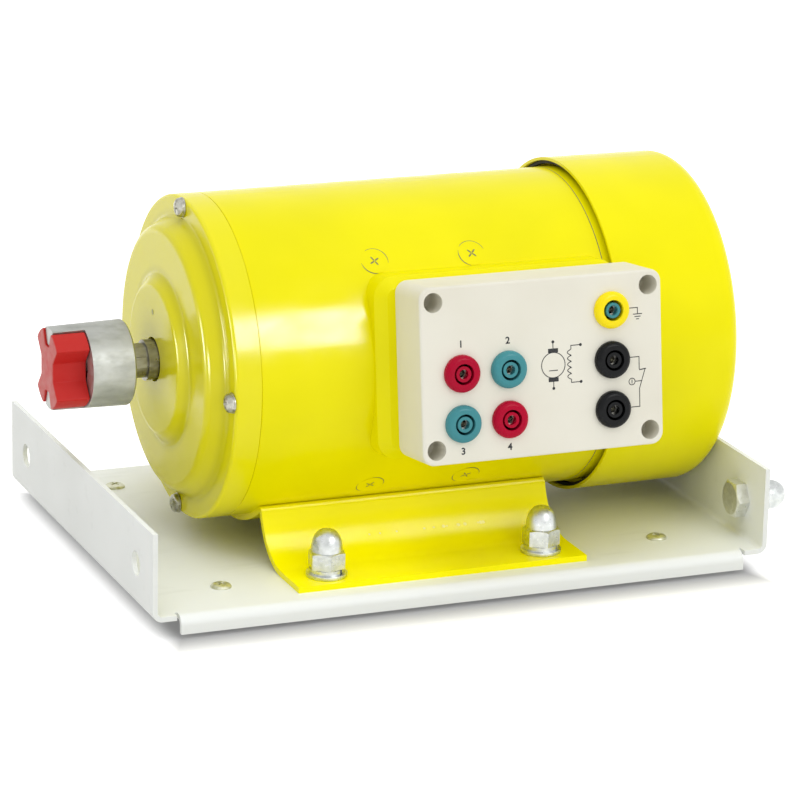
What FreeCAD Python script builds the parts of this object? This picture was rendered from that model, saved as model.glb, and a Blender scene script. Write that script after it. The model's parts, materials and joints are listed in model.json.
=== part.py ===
"""Demonstration series motor on a folded steel base.

Frame: +X runs along the shaft, away from the coupling; -Y is the side of the terminal box; +Z is up.
All lengths are millimetres and all angles degrees.  The sub-parts are drawn about the plane Y = 0 through
the shaft axis, with Z = 0 on the surface that the rubber feet stand on.  The finished assembly is then
moved along X and Y, so that the origin lies under the middle of its overall box.
"""
import FreeCAD, Part
import math
import os
from collections import namedtuple

V = FreeCAD.Vector

# ----------------------------------------------------------------------------------------------
# Driving dimensions: base
# ----------------------------------------------------------------------------------------------
FLANGE_ROOM = 0.9              # between the rear cover and the right flange
FOOT_EDGE_ROOM = 11.0          # from the foot bracket's edge to the end of a flange
LIP_OVERHANG = 2.0             # front and back lips beyond the ends of the flanges
LIP_INSET = 13.5               # lip's ends from the flanges' outer faces
LIP_DROP = 9.0                 # from the plate's top face to the lip's lower edge
SHEET = 2.5                    # base sheet thickness
RELIEF_WIDTH = 1.4             # notch between each lip's end and the plate beside it
RELIEF_DEPTH = 1.5             # of that notch inside the lip's bend
BEND_RADIUS = 2.5              # inside radius of the base's bends
FLANGE_HEIGHT = 41.0           # above the plate's top face
PLATE_TOP = 11.0               # plate's top face above the standing plane
LINK_INSET = 25.0              # linking holes from the ends of a flange
LINK_HEIGHT = 19.0             # linking holes above the plate's top face
LINK_HOLE_RADIUS = 6.0         # holes that the next base's bolts pass through
BOLT_CLEARANCE = 0.5           # radial room round a bolt in its hole
FOOT_INSET_X = 45.0            # rubber feet from the flanges' outer faces
FOOT_INSET_Y = 32.0            # rubber feet from the ends of the flanges
FOOT_TOP_RADIUS = 11.0
FOOT_BOTTOM_RADIUS = 9.5
FOOT_HOLE_DEPTH = 7.0
FOOT_SCREW_GRIP = 6.0          # of the screw in the foot

# ----------------------------------------------------------------------------------------------
# Driving dimensions: motor casing
# ----------------------------------------------------------------------------------------------
SADDLE_LIFT = 8.5              # room under the saddle, above the plate's top face
TUBE_RADIUS = 79.5
TUBE_WALL = 9.5
TUBE_FRONT = -94.0             # joint between the front end shield and the tube
TUBE_LENGTH = 182.0
SPIGOT_LENGTH = 4.0            # end shield register inside the tube
SPIGOT_CLEARANCE = 0.1
SPIGOT_WALL = 5.0
JOINT_CHAMFER = 0.4             # end shields' edges at the tube, a fine groove on the outside
RIM_LENGTH = 13.5              # front end shield rim along X
RIM_SHELF = 10.5               # flat ring between the end shield's edge and its large raised disc
DISC_SLOPE = 5.0               # how much smaller that disc's radius is at its face
DISC_HEIGHT = 9.7
NOSE_RADIUS = 36.5             # small raised disc of the front end shield
NOSE_BASE_RADIUS = 42.0
NOSE_HEIGHT = 4.6
SHIELD_WALL = 5.0
RIM_ROUND = 1.6
DISC_ROUND = 4.5                # outer edge of the large disc
STEP_ROUND = 3.0
SHAFT_HOLE_GAP = 1.0           # radial gap between the shaft and an end shield's hole
SHIELD_SCREW_COUNT = 4
END_SCREW_INSET = 4.0           # end screws' axes from the tube's outer surface
SHIELD_SCREW_TURN = -1.5       # whole pattern turned a little from the horizontal
SPOT_FACE_GAP = 1.0            # spot face wider than the washer on it
END_THREAD = 10.0              # end screws' thread in the tube
COVER_THREAD = 10.0            # cover screws' thread in their pillars
REAR_RIM_LENGTH = 10.0
REAR_BOSS_RADIUS = 28.0
BEARING_LEDGE = 4.0            # wall left in front of each bearing

COVER_GAP = 3.2                # between the tube and the rear cover's open edge
COVER_TAPER = 0.4              # how much smaller the cover's radius is at its closed end
COVER_SHEET = 1.5
COVER_LENGTH = 65.4
COVER_SETBACK = 2.8            # open edge behind the end of the tube
COVER_ROUND = 8.5
GRILLE_RINGS = 4
GRILLE_FIRST_RADIUS = 14.0
GRILLE_SLOT = 4.0
GRILLE_PITCH = 9.0
GRILLE_SPOKES = 6
GRILLE_SPOKE_WIDTH = 6.0
PILLAR_COUNT = 3
PILLAR_INSET = 15.5            # pillars' axes from the tube's outer surface
PILLAR_FLATS = 9.0

# ----------------------------------------------------------------------------------------------
# Driving dimensions: foot bracket
# ----------------------------------------------------------------------------------------------
BRACKET_FRONT_INSET = 11.0     # from the tube's front end
BRACKET_REAR_INSET = 21.0      # from the tube's rear end
BRACKET_SHEET = 3.0
BOLT_EDGE = 13.0               # foot bolts from the foot's free edge
BOLT_ROOM = 1.36               # between a foot bolt's washer and the bend beside it
SADDLE_ANGLE = 34.5            # half of the arc that cradles the tube
CREST_RADIUS = 2.0             # mid-sheet radius of the bend beside the tube
SKIRT_ANGLE = 74.0             # steepest slope of the bracket's side
BOLT_INSET = 19.0              # foot bolts from the bracket's ends
SADDLE_SCREW_INSET = 30.0      # saddle screws from the bracket's ends

# ----------------------------------------------------------------------------------------------
# Driving dimensions: field, armature and bearings
# ----------------------------------------------------------------------------------------------
POLE_COUNT = 4
POLE_SCREW_SPACING = 50.5
POLE_SCREW_DEPTH = 14.0        # thread in the pole, from the tube's bore
FRONT_SPACE = 40.0             # from the tube's front end to the core
FIELD_SPACE = 25.0             # between the tube's bore and the core
AIR_GAP = 0.8
SHOE_THICKNESS = 7.2
SHOE_ANGLE = 66.0
POLE_WIDTH = 30.0
POLE_END_INSET = 4.0           # pole body shorter than the shoe at each end
COIL_THICKNESS = 10.5
COIL_HEIGHT = 10.5
COIL_GAP = 0.3
COIL_CORNER = 14.0
THERMAL_LENGTH = 16.0
THERMAL_WIDTH = 9.0
THERMAL_THICKNESS = 6.0
THERMAL_ROUND = 1.8
SLOT_COUNT = 24
SLOT_WIDTH = 5.0
SLOT_BOTTOM_RADIUS = 27.0
WINDING_GAP = 0.1
WINDING_RECESS = 1.5           # winding below the core's surface
HEAD_INNER_RADIUS = 18.0
HEAD_RECESS = 3.0              # winding's heads below the core's surface
HEAD_LENGTH = 15.0
HEAD_CHAMFER = 5.0
COMMUTATOR_RADIUS = 26.0
COMMUTATOR_LENGTH = 21.5
COMMUTATOR_GAP = 1.5           # between the winding's head and the bars
COMMUTATOR_REACH = 3.0         # bars' ends inside the brush ring
BAR_INNER_RADIUS = 18.0
BAR_SPACE = 0.8                # insulation between neighbouring bars
RISER_RADIUS = 29.0
RISER_LENGTH = 3.5
BODY_SHAFT_RADIUS = 13.0
BRUSH_AXIAL = 11.0
BRUSH_TANGENTIAL = 12.0
BRUSH_LENGTH = 18.0
BRUSH_RUNNING_GAP = 0.05
BRUSH_BOX_WALL = 1.8
BRUSH_SIDE_GAP = 0.2
BRUSH_SPRING_LENGTH = 8.0
BRUSH_SPRING_RADIUS = 4.0
BRUSH_SPRING_WIRE = 1.0
BRUSH_BOX_LIFT = 2.5           # between the box and the commutator
BRUSH_RING_THICKNESS = 7.0
BRUSH_RING_INNER = 32.0
BRUSH_RING_INSET = 10.0        # brush ring's edge inside the tube's bore
FAN_TIP_ROOM = 10.0            # from the fan's edge to the pillars' axes
FAN_HUB_RADIUS = 15.0
FAN_HUB_LENGTH = 20.0
FAN_PLATE = 2.5
FAN_BLADE = 2.5
FAN_BLADES = 8
FAN_SHAFT_RADIUS = 8.0
FAN_GAP = 2.0                  # between the rear boss and the fan
CLIP_THICKNESS = 1.2
CLIP_DEPTH = 0.8
CLIP_RADIUS = 11.0

# ----------------------------------------------------------------------------------------------
# Driving dimensions: drive end
# ----------------------------------------------------------------------------------------------
SHAFT_END_RADIUS = 8.5
SHOULDER_REACH = 5.0           # bearing-size part of the shaft in front of the end shield
HUB_GAP = 9.8                  # from that shoulder to the coupling hub
HUB_LENGTH = 21.8
HUB_REAR_RADIUS = 21.0
HUB_FRONT_RADIUS = 20.3
JAW_LENGTH = 16.0
SHAFT_RECESS = 2.0             # shaft end behind the hub's face
SPIDER_THICKNESS = 16.9
SPIDER_RADIUS = 19.8
SPIDER_CORNER = 1.0             # round along each corner of the spider's legs
SPIDER_CLEARANCE = 0.3
JAW_GAP_BOTTOM = 11.2           # nearest point of the jaws' gaps to the axis
JAW_GAP_BOTTOM_HALF = 3.0       # half width of those gaps there
JAW_GAP_TOP = 19.0
JAW_GAP_TOP_HALF = 6.3
SIDE_GAP_BOTTOM = 9.2           # the same of the two open gaps, which the next hub's jaws enter
SIDE_GAP_BOTTOM_HALF = 4.6
SIDE_GAP_TOP = 15.6
SIDE_GAP_TOP_HALF = 12.0
BORE_CHAMFER = 1.6              # hub's bore at the spider
HUB_CHAMFER = 0.8               # hub's rear edge
KEY_WIDTH = 5.0
KEY_HEIGHT = 5.0
KEY_DEPTH = 3.0                # in the shaft
KEY_LENGTH = 24.0
KEY_INSET = 4.0                # from the shaft's end
KEY_ANGLE = 10.0
KEY_CLEARANCE = 0.1
SET_SCREW_LENGTH = 8.0

# ----------------------------------------------------------------------------------------------
# Driving dimensions: terminal box
# ----------------------------------------------------------------------------------------------
BOX_TILT = 7.5                 # the box faces slightly upwards, square to the tube
BOX_DROP = 1.2                 # box centre below that tilted line
BOX_LENGTH = 125.0
BOX_WIDTH = 85.0
BOX_OVERHANG = 6.0             # box's rear end behind the cover's open edge
BOX_CORNER = 6.0
BOX_WALL = 3.0
BOX_FRONT_ROUND = 1.2
TUB_DEPTH = 12.0
LID_DEPTH = 18.0
RISER_STANDOFF = 6.5           # riser's face in front of the tube
RISER_LEFT = 9.0               # how far the riser shows beyond the box at its coupling end
RISER_COVER_GAP = 1.5          # between the riser and the rear cover's open edge
RISER_WIDTH = 88.4
RISER_WALL = 8.0
RISER_CHAMFER = 5.0
RISER_CORNER = 10.0
LEAD_HOLE_RADIUS = 12.0
WELL_SPACING_X = 111.0
WELL_SPACING_Z = 70.4
WELL_RADIUS = 4.75
WELL_WALL = 1.8
WELL_FLOOR = 2.5
RISER_SCREW_SPACING_X = 84.0
RISER_SCREW_SPACING_Z = 62.0
SOCKET_PITCH = 24.0
SOCKET_COLUMNS = (-42.0, -18.0, 35.8)
SOCKET_LIFT = 0.6               # middle row above the box's centre
COLLAR_RADIUS = 9.0
COLLAR_HEIGHT = 3.6
COLLAR_ROUND = 2.4
SOCKET_BODY_RADIUS = 6.2
SOCKET_HOLE_GAP = 0.15
SOCKET_BODY_LENGTH = 19.0      # behind the panel's face
GROOVE_RADIUS = 5.0            # ring-shaped space for a plug's shroud
SLEEVE_RADIUS = 3.8            # insulating sleeve round the contact
SLEEVE_MOUTH_RADIUS = 2.3
SLEEVE_RECESS = 0.6            # sleeve's face below the collar's
SOCKET_BORE_RADIUS = 2.02
CONTACT_RADIUS = 2.8
CONTACT_SETBACK = 1.0          # contact's mouth behind the panel's face
CONTACT_LENGTH = 17.0
TAIL_RADIUS = 1.5
TAIL_LENGTH = 5.0
SOCKET_FLOOR = 1.5
NUT_FLATS = 15.0
NUT_HEIGHT = 4.0

# ----------------------------------------------------------------------------------------------
# Standard parts
# ----------------------------------------------------------------------------------------------
Hex = namedtuple("Hex", "shank flats head washer_radius washer lock_radius lock dome dome_hex bore")
M8 = Hex(4.0, 13.0, 5.3, 8.0, 1.6, 7.4, 2.0, 15.0, 6.5, 11.0)
M10 = Hex(5.0, 16.0, 6.4, 10.0, 2.0, 8.6, 2.2, 19.0, 8.4, 13.0)

Pan = namedtuple("Pan", "shank head_radius head washer_radius washer")
M4 = Pan(2.0, 4.0, 2.6, 4.5, 0.8)
M5 = Pan(2.5, 4.7, 3.1, 5.0, 0.9)
FOOT_SCREW = Pan(2.5, 5.1, 1.9, 5.0, 0.9)
POLE_SCREW = Pan(3.5, 6.7, 3.5, 0.0, 0.0)

Bearing = namedtuple("Bearing", "bore outer width balls ball_radius")
FRONT_BEARING = Bearing(10.0, 23.5, 14.0, 8, 3.9)
REAR_BEARING = Bearing(8.5, 20.0, 12.0, 8, 3.3)
RACE_CLEARANCE = 0.05
DOME_STEP = 0.45               # dome's radius inside a domed nut's flats
CROWN_SHARE = 0.7              # flat crown of a pan head as a share of its radius
RING_HEIGHT_SHARE = 0.30       # ring height as a share of the bearing's section
PRELOAD_THICKNESS = 1.6
PRELOAD_SIDE_GAP = 0.3

# ----------------------------------------------------------------------------------------------
# Worked-out places
# ----------------------------------------------------------------------------------------------
AXIS_HEIGHT = PLATE_TOP + SADDLE_LIFT + BRACKET_SHEET + TUBE_RADIUS
TUBE_BORE = TUBE_RADIUS - TUBE_WALL
TUBE_REAR = TUBE_FRONT + TUBE_LENGTH
SHIELD_SCREW_CIRCLE = TUBE_RADIUS - END_SCREW_INSET
DISC_BASE_RADIUS = TUBE_RADIUS - RIM_SHELF
DISC_RADIUS = DISC_BASE_RADIUS - DISC_SLOPE
RIM_FACE = TUBE_FRONT - RIM_LENGTH
DISC_FACE = RIM_FACE - DISC_HEIGHT
NOSE_FACE = DISC_FACE - NOSE_HEIGHT
FRONT_BEARING_X = NOSE_FACE + BEARING_LEDGE
FRONT_SHOULDER_X = FRONT_BEARING_X + FRONT_BEARING.width
SHAFT_STEP_X = NOSE_FACE - SHOULDER_REACH
HUB_REAR_X = SHAFT_STEP_X - HUB_GAP
HUB_FACE_X = HUB_REAR_X - HUB_LENGTH
JAW_TIP_X = HUB_FACE_X - JAW_LENGTH
SHAFT_FRONT_X = HUB_FACE_X + SHAFT_RECESS
REAR_FACE_X = TUBE_REAR + REAR_RIM_LENGTH
REAR_BEARING_X = TUBE_REAR + BEARING_LEDGE
REAR_BEARING_END = REAR_BEARING_X + REAR_BEARING.width
REAR_SEAT_END = REAR_BEARING_END + PRELOAD_THICKNESS
REAR_BOSS_END = REAR_SEAT_END + BEARING_LEDGE
FAN_FRONT_X = REAR_BOSS_END + FAN_GAP
FAN_REAR_X = FAN_FRONT_X + FAN_HUB_LENGTH
COVER_RADIUS = TUBE_RADIUS + COVER_GAP + COVER_SHEET
COVER_FRONT_X = TUBE_REAR + COVER_SETBACK
COVER_REAR_X = COVER_FRONT_X + COVER_LENGTH
PILLAR_CIRCLE_RADIUS = TUBE_RADIUS - PILLAR_INSET
FAN_RADIUS = PILLAR_CIRCLE_RADIUS - FAN_TIP_ROOM
BRUSH_RING_X = TUBE_REAR - BRUSH_RING_THICKNESS
BRUSH_RING_OUTER = TUBE_BORE - BRUSH_RING_INSET
COMMUTATOR_END = BRUSH_RING_X + COMMUTATOR_REACH
COMMUTATOR_X = COMMUTATOR_END - COMMUTATOR_LENGTH
CORE_FRONT_X = TUBE_FRONT + FRONT_SPACE
CORE_REAR_X = COMMUTATOR_X - COMMUTATOR_GAP - HEAD_LENGTH
CORE_LENGTH = CORE_REAR_X - CORE_FRONT_X
CORE_RADIUS = TUBE_BORE - FIELD_SPACE
HEAD_OUTER_RADIUS = CORE_RADIUS - HEAD_RECESS
POLE_CENTRE_X = (CORE_FRONT_X + CORE_REAR_X) / 2
SHOE_RADIUS = CORE_RADIUS + AIR_GAP
SHOE_OUTER = SHOE_RADIUS + SHOE_THICKNESS
BRUSH_BOX_AXIAL = BRUSH_AXIAL + 2 * (BRUSH_SIDE_GAP + BRUSH_BOX_WALL)
BRUSH_X = BRUSH_RING_X - BRUSH_BOX_AXIAL / 2
BRUSH_FACE_RADIUS = COMMUTATOR_RADIUS + BRUSH_RUNNING_GAP
BRUSH_TOP = BRUSH_FACE_RADIUS + BRUSH_LENGTH
BRUSH_BOX_TOP = BRUSH_TOP + BRUSH_SPRING_LENGTH + BRUSH_BOX_WALL
RISER_FACE = TUBE_RADIUS + RISER_STANDOFF
LID_BACK = RISER_FACE + TUB_DEPTH
PANEL = LID_BACK + LID_DEPTH
BOX_CENTRE_X = COVER_FRONT_X + BOX_OVERHANG - BOX_LENGTH / 2
BRACKET_LENGTH = TUBE_LENGTH - BRACKET_FRONT_INSET - BRACKET_REAR_INSET
BRACKET_CENTRE_X = TUBE_FRONT + BRACKET_FRONT_INSET + BRACKET_LENGTH / 2
SADDLE_RADIUS = TUBE_RADIUS + BRACKET_SHEET / 2
CREST_CIRCLE = SADDLE_RADIUS + CREST_RADIUS
SADDLE_LEAN = math.radians(SADDLE_ANGLE)
SKIRT_LEAN = math.radians(SKIRT_ANGLE)
FOOT_MID = PLATE_TOP + BRACKET_SHEET / 2
SKIRT_TOP_Y = CREST_CIRCLE * math.sin(SADDLE_LEAN) + CREST_RADIUS * math.sin(SKIRT_LEAN)
SKIRT_TOP_Z = AXIS_HEIGHT - CREST_CIRCLE * math.cos(SADDLE_LEAN) + CREST_RADIUS * math.cos(SKIRT_LEAN)
SKIRT_RADIUS = (SKIRT_TOP_Z - FOOT_MID) / (1 - math.cos(SKIRT_LEAN))
FOOT_START = SKIRT_TOP_Y + SKIRT_RADIUS * math.sin(SKIRT_LEAN)
BRACKET_BOLT_SPACING_X = BRACKET_LENGTH - 2 * BOLT_INSET
BRACKET_BOLT_SPACING_Y = 2 * (FOOT_START + BOLT_ROOM + M10.washer_radius)
BRACKET_HALF_WIDTH = BRACKET_BOLT_SPACING_Y / 2 + BOLT_EDGE
SADDLE_SCREW_SPACING = BRACKET_LENGTH - 2 * SADDLE_SCREW_INSET
RIGHT_FLANGE_INNER = COVER_REAR_X + FLANGE_ROOM
BASE_LENGTH = 2 * (RIGHT_FLANGE_INNER + SHEET)
BASE_DEPTH = 2 * (BRACKET_HALF_WIDTH + FOOT_EDGE_ROOM)
LIP_SPREAD = BASE_DEPTH + 2 * LIP_OVERHANG
LIP_LENGTH = BASE_LENGTH - 2 * LIP_INSET
LINK_SPACING = BASE_DEPTH - 2 * LINK_INSET
FOOT_SPACING_X = BASE_LENGTH - 2 * FOOT_INSET_X
FOOT_SPACING_Y = BASE_DEPTH - 2 * FOOT_INSET_Y
PLATE_BOTTOM = PLATE_TOP - SHEET
LINK_Z = PLATE_TOP + LINK_HEIGHT

AXIS_POINT = V(0, 0, AXIS_HEIGHT)
X_DIR = V(1, 0, 0)
Y_DIR = V(0, 1, 0)
Z_DIR = V(0, 0, 1)
EXTRA = 1.0                    # how far a cutting tool runs past the faces it cuts
CLOSE = 0.01                   # tolerance for finding an edge by its place


# ----------------------------------------------------------------------------------------------
# Shape helpers
# ----------------------------------------------------------------------------------------------
def block(low, high):
    """Box between two opposite corners."""
    size = [high[i] - low[i] for i in range(3)]
    return Part.makeBox(size[0], size[1], size[2], V(*low))


def spanned(one, other):
    """Axis-aligned box between two opposite corners given in any order."""
    low = [min(pair) for pair in zip(one, other)]
    high = [max(pair) for pair in zip(one, other)]
    return block(low, high)


def face_of(points):
    """Flat face inside a closed run of points."""
    return Part.Face(Part.makePolygon(points + [points[0]]))


def turned(profile, angle=360.0):
    """Solid turned about the shaft axis from (x, radius) points."""
    points = [V(x, 0, AXIS_HEIGHT + radius) for x, radius in profile]
    return face_of(points).revolve(AXIS_POINT, X_DIR, angle)


def rod(x_from, x_to, radius):
    """Cylinder on the shaft axis."""
    return Part.makeCylinder(radius, x_to - x_from, V(x_from, 0, AXIS_HEIGHT), X_DIR)


def ring(x_from, x_to, inner, outer):
    """Plain ring on the shaft axis."""
    return rod(x_from, x_to, outer).cut(rod(x_from - EXTRA, x_to + EXTRA, inner))


def around(shape, angle):
    """Copy turned about the shaft axis; at 0 it stays on the -Y side, at 90 it is on top."""
    copy = shape.copy()
    copy.rotate(AXIS_POINT, X_DIR, -angle)
    return copy


def spread(shape, count, first=0.0):
    """Evenly spaced copies about the shaft axis."""
    return [around(shape, first + i * 360.0 / count) for i in range(count)]


def set_at(shape, position, direction):
    """Copy of a shape drawn along +Z, moved to a place and turned to a direction."""
    copy = shape.copy()
    copy.Placement = FreeCAD.Placement(position, FreeCAD.Rotation(Z_DIR, direction))
    return copy


def group(shapes):
    """Several separate solids in one node."""
    return Part.makeCompound(shapes)


def rounded_along(shape, radius, direction):
    """Round the straight edges that run along a direction."""
    edges = []
    for edge in shape.Edges:
        if isinstance(edge.Curve, Part.Line) and edge.Curve.Direction.cross(direction).Length < CLOSE:
            edges.append(edge)
    return shape.makeFillet(radius, edges)


def rounded_rims(shape, rims, radius):
    """Round the circular edges named by (x, radius) on the shaft axis."""
    edges = []
    for edge in shape.Edges:
        if not isinstance(edge.Curve, Part.Circle):
            continue
        for rim_x, rim_radius in rims:
            if abs(edge.Curve.Center.x - rim_x) < CLOSE and abs(edge.Curve.Radius - rim_radius) < CLOSE:
                edges.append(edge)
    return shape.makeFillet(radius, edges)


def panel_block(x_from, x_to, depth_from, depth_to, z_from, z_to):
    """Box in the terminal box's own frame: depth is measured from the shaft axis towards -Y."""
    low = (x_from, -depth_to, AXIS_HEIGHT + z_from)
    high = (x_to, -depth_from, AXIS_HEIGHT + z_to)
    return block(low, high)


def panel_rod(x, z, depth_from, depth_to, radius):
    """Cylinder square to the panel, in the terminal box's own frame."""
    start = V(x, -depth_from, AXIS_HEIGHT + z)
    return Part.makeCylinder(radius, depth_to - depth_from, start, V(0, -1, 0))


def tilted(shape):
    """Turn something drawn in the terminal box's own frame to the box's real slope."""
    return around(shape, BOX_TILT)


# ----------------------------------------------------------------------------------------------
# Fasteners, drawn along +Z with Z = 0 where the head sits
# ----------------------------------------------------------------------------------------------
def hex_prism(flats, height):
    """Hexagonal prism standing on Z = 0."""
    corner = flats / math.sqrt(3)
    points = [V(corner * math.cos(math.radians(60 * i)), corner * math.sin(math.radians(60 * i)), 0)
              for i in range(6)]
    return face_of(points).extrude(V(0, 0, height))


def hex_bolt(size, length):
    """Hexagon-head bolt with its shank below Z = 0."""
    shank = Part.makeCylinder(size.shank, length, V(0, 0, -length))
    return hex_prism(size.flats, size.head).fuse(shank).removeSplitter()


def washer(inner, outer, thickness):
    """Flat washer standing on Z = 0."""
    hole = Part.makeCylinder(inner, thickness + 2 * EXTRA, V(0, 0, -EXTRA))
    return Part.makeCylinder(outer, thickness).cut(hole)


def domed_nut(size):
    """Domed nut standing on Z = 0, with a blind thread."""
    neck = size.flats / 2 - DOME_STEP
    ball_height = size.dome - neck
    dome = Part.makeCylinder(neck, ball_height).fuse(Part.makeSphere(neck, V(0, 0, ball_height)))
    below = Part.makeCylinder(size.flats, size.flats, V(0, 0, -size.flats))
    body = dome.cut(below).fuse(hex_prism(size.flats, size.dome_hex))
    return body.cut(Part.makeCylinder(size.shank, size.bore)).removeSplitter()


def pan_screw(size, length):
    """Pan-head screw with its shank below Z = 0."""
    shoulder = size.head / 2
    crown = size.head_radius * CROWN_SHARE
    outline = [V(0, 0, 0), V(size.head_radius, 0, 0), V(size.head_radius, 0, shoulder),
               V(crown, 0, size.head), V(0, 0, size.head)]
    head = face_of(outline).revolve(V(0, 0, 0), Z_DIR, 360)
    shank = Part.makeCylinder(size.shank, length, V(0, 0, -length))
    return head.fuse(shank).removeSplitter()


def flush_screw(size, length):
    """Flat-head screw whose top face is at Z = 0."""
    head = Part.makeCone(size.shank, size.head_radius, size.head, V(0, 0, -size.head))
    shank = Part.makeCylinder(size.shank, length - size.head, V(0, 0, -length))
    return head.fuse(shank).removeSplitter()


# ----------------------------------------------------------------------------------------------
# Base
# ----------------------------------------------------------------------------------------------
def corner_pairs(spacing_x, spacing_y, centre_x=0.0):
    """Four places at the corners of a rectangle centred on the shaft's plane."""
    return [(centre_x + sx * spacing_x / 2, sy * spacing_y / 2) for sx in (-1, 1) for sy in (-1, 1)]


def folded_strip(half_outer, rise, direction):
    """Half profile of a flat sheet with one bend: (distance, height) points and arcs as a wire.

    The sheet runs from the middle to half_outer, then turns up (direction 1) or down (direction -1).
    The height is measured from the sheet's face on the inside of the bend.
    """
    inner = BEND_RADIUS
    outer = BEND_RADIUS + SHEET
    start = half_outer - outer
    diagonal = math.sqrt(0.5)

    def at(distance, height):
        return V(distance, 0, direction * height)

    inner_mid = at(start + inner * diagonal, inner - inner * diagonal)
    outer_mid = at(start + outer * diagonal, inner - outer * diagonal)
    edges = [
        Part.LineSegment(at(0, 0), at(start, 0)),
        Part.Arc(at(start, 0), inner_mid, at(start + inner, inner)),
        Part.LineSegment(at(start + inner, inner), at(start + inner, rise)),
        Part.LineSegment(at(start + inner, rise), at(start + outer, rise)),
        Part.LineSegment(at(start + outer, rise), at(start + outer, inner)),
        Part.Arc(at(start + outer, inner), outer_mid, at(start, -SHEET)),
        Part.LineSegment(at(start, -SHEET), at(0, -SHEET)),
        Part.LineSegment(at(0, -SHEET), at(0, 0)),
    ]
    return Part.Wire([edge.toShape() for edge in edges])


def base_plate():
    """Folded tray: upright flanges left and right, turned-down lips front and back."""
    flange_half = Part.Face(folded_strip(BASE_LENGTH / 2, FLANGE_HEIGHT, 1)).extrude(V(0, BASE_DEPTH, 0))
    flange_half.translate(V(0, -BASE_DEPTH / 2, PLATE_TOP))
    tray = flange_half.fuse(flange_half.mirror(V(0, 0, 0), X_DIR))

    bend_start = LIP_SPREAD / 2 - SHEET - BEND_RADIUS
    lip_end = LIP_LENGTH / 2
    relief_end = lip_end + RELIEF_WIDTH
    for side in (-1, 1):
        near, deep, far = [side * y for y in (bend_start, bend_start - RELIEF_DEPTH, BASE_DEPTH / 2 + EXTRA)]
        tray = tray.cut(spanned((-lip_end, near, 0), (lip_end, far, PLATE_TOP + EXTRA)))
        for end in (-1, 1):
            tray = tray.cut(spanned((end * lip_end, deep, 0), (end * relief_end, far, PLATE_TOP + EXTRA)))

    lip_half = Part.Face(folded_strip(LIP_SPREAD / 2, LIP_DROP - SHEET, -1)).extrude(V(0, LIP_LENGTH, 0))
    lip_half.rotate(V(0, 0, 0), Z_DIR, -90)
    lip_half.translate(V(-LIP_LENGTH / 2, 0, PLATE_BOTTOM))
    lips = lip_half.fuse(lip_half.mirror(V(0, 0, 0), Y_DIR))
    tray = tray.fuse(lips)

    flange_x = RIGHT_FLANGE_INNER - EXTRA
    reach = SHEET + 2 * EXTRA
    for side in (-1, 1):
        y = side * LINK_SPACING / 2
        tray = tray.cut(Part.makeCylinder(LINK_HOLE_RADIUS, reach, V(-flange_x, y, LINK_Z), V(-1, 0, 0)))
        tray = tray.cut(Part.makeCylinder(M10.shank + BOLT_CLEARANCE, reach, V(flange_x, y, LINK_Z), X_DIR))
    for place in foot_places(PLATE_BOTTOM - EXTRA):
        tray = tray.cut(Part.makeCylinder(M5.shank + BOLT_CLEARANCE, reach, place))
    for place in bracket_places(PLATE_BOTTOM - EXTRA):
        tray = tray.cut(Part.makeCylinder(M10.shank + BOLT_CLEARANCE, reach, place))
    return tray.removeSplitter()


def foot_places(height):
    """The four rubber feet's axes at a height."""
    return [V(x, y, height) for x, y in corner_pairs(FOOT_SPACING_X, FOOT_SPACING_Y)]


def rubber_feet():
    """Four tapered rubber feet under the plate."""
    foot = Part.makeCone(FOOT_BOTTOM_RADIUS, FOOT_TOP_RADIUS, PLATE_BOTTOM)
    hole = Part.makeCylinder(M5.shank, FOOT_HOLE_DEPTH, V(0, 0, PLATE_BOTTOM - FOOT_HOLE_DEPTH))
    return group([set_at(foot.cut(hole), place, Z_DIR) for place in foot_places(0.0)])


def foot_screws():
    """Pan-head screws through the plate into the feet."""
    screw = pan_screw(FOOT_SCREW, SHEET + FOOT_SCREW_GRIP)
    return group([set_at(screw, place, Z_DIR) for place in foot_places(PLATE_TOP)])


def link_places():
    """Middle of each linking bolt's hole in the right flange's inner face."""
    return [V(RIGHT_FLANGE_INNER, side * LINK_SPACING / 2, LINK_Z) for side in (-1, 1)]


def link_bolts():
    """Bolts that join this base to the next one, heads inside."""
    bolt = hex_bolt(M10, SHEET + M10.washer + M10.bore - EXTRA)
    return group([set_at(bolt, place, V(-1, 0, 0)) for place in link_places()])


def link_washers():
    """Flat washers outside the right flange."""
    plain = washer(M10.shank + BOLT_CLEARANCE, M10.washer_radius, M10.washer)
    return group([set_at(plain, place + V(SHEET, 0, 0), X_DIR) for place in link_places()])


def link_nuts():
    """Domed nuts outside the right flange."""
    nut = domed_nut(M10)
    return group([set_at(nut, place + V(SHEET + M10.washer, 0, 0), X_DIR) for place in link_places()])


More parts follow.
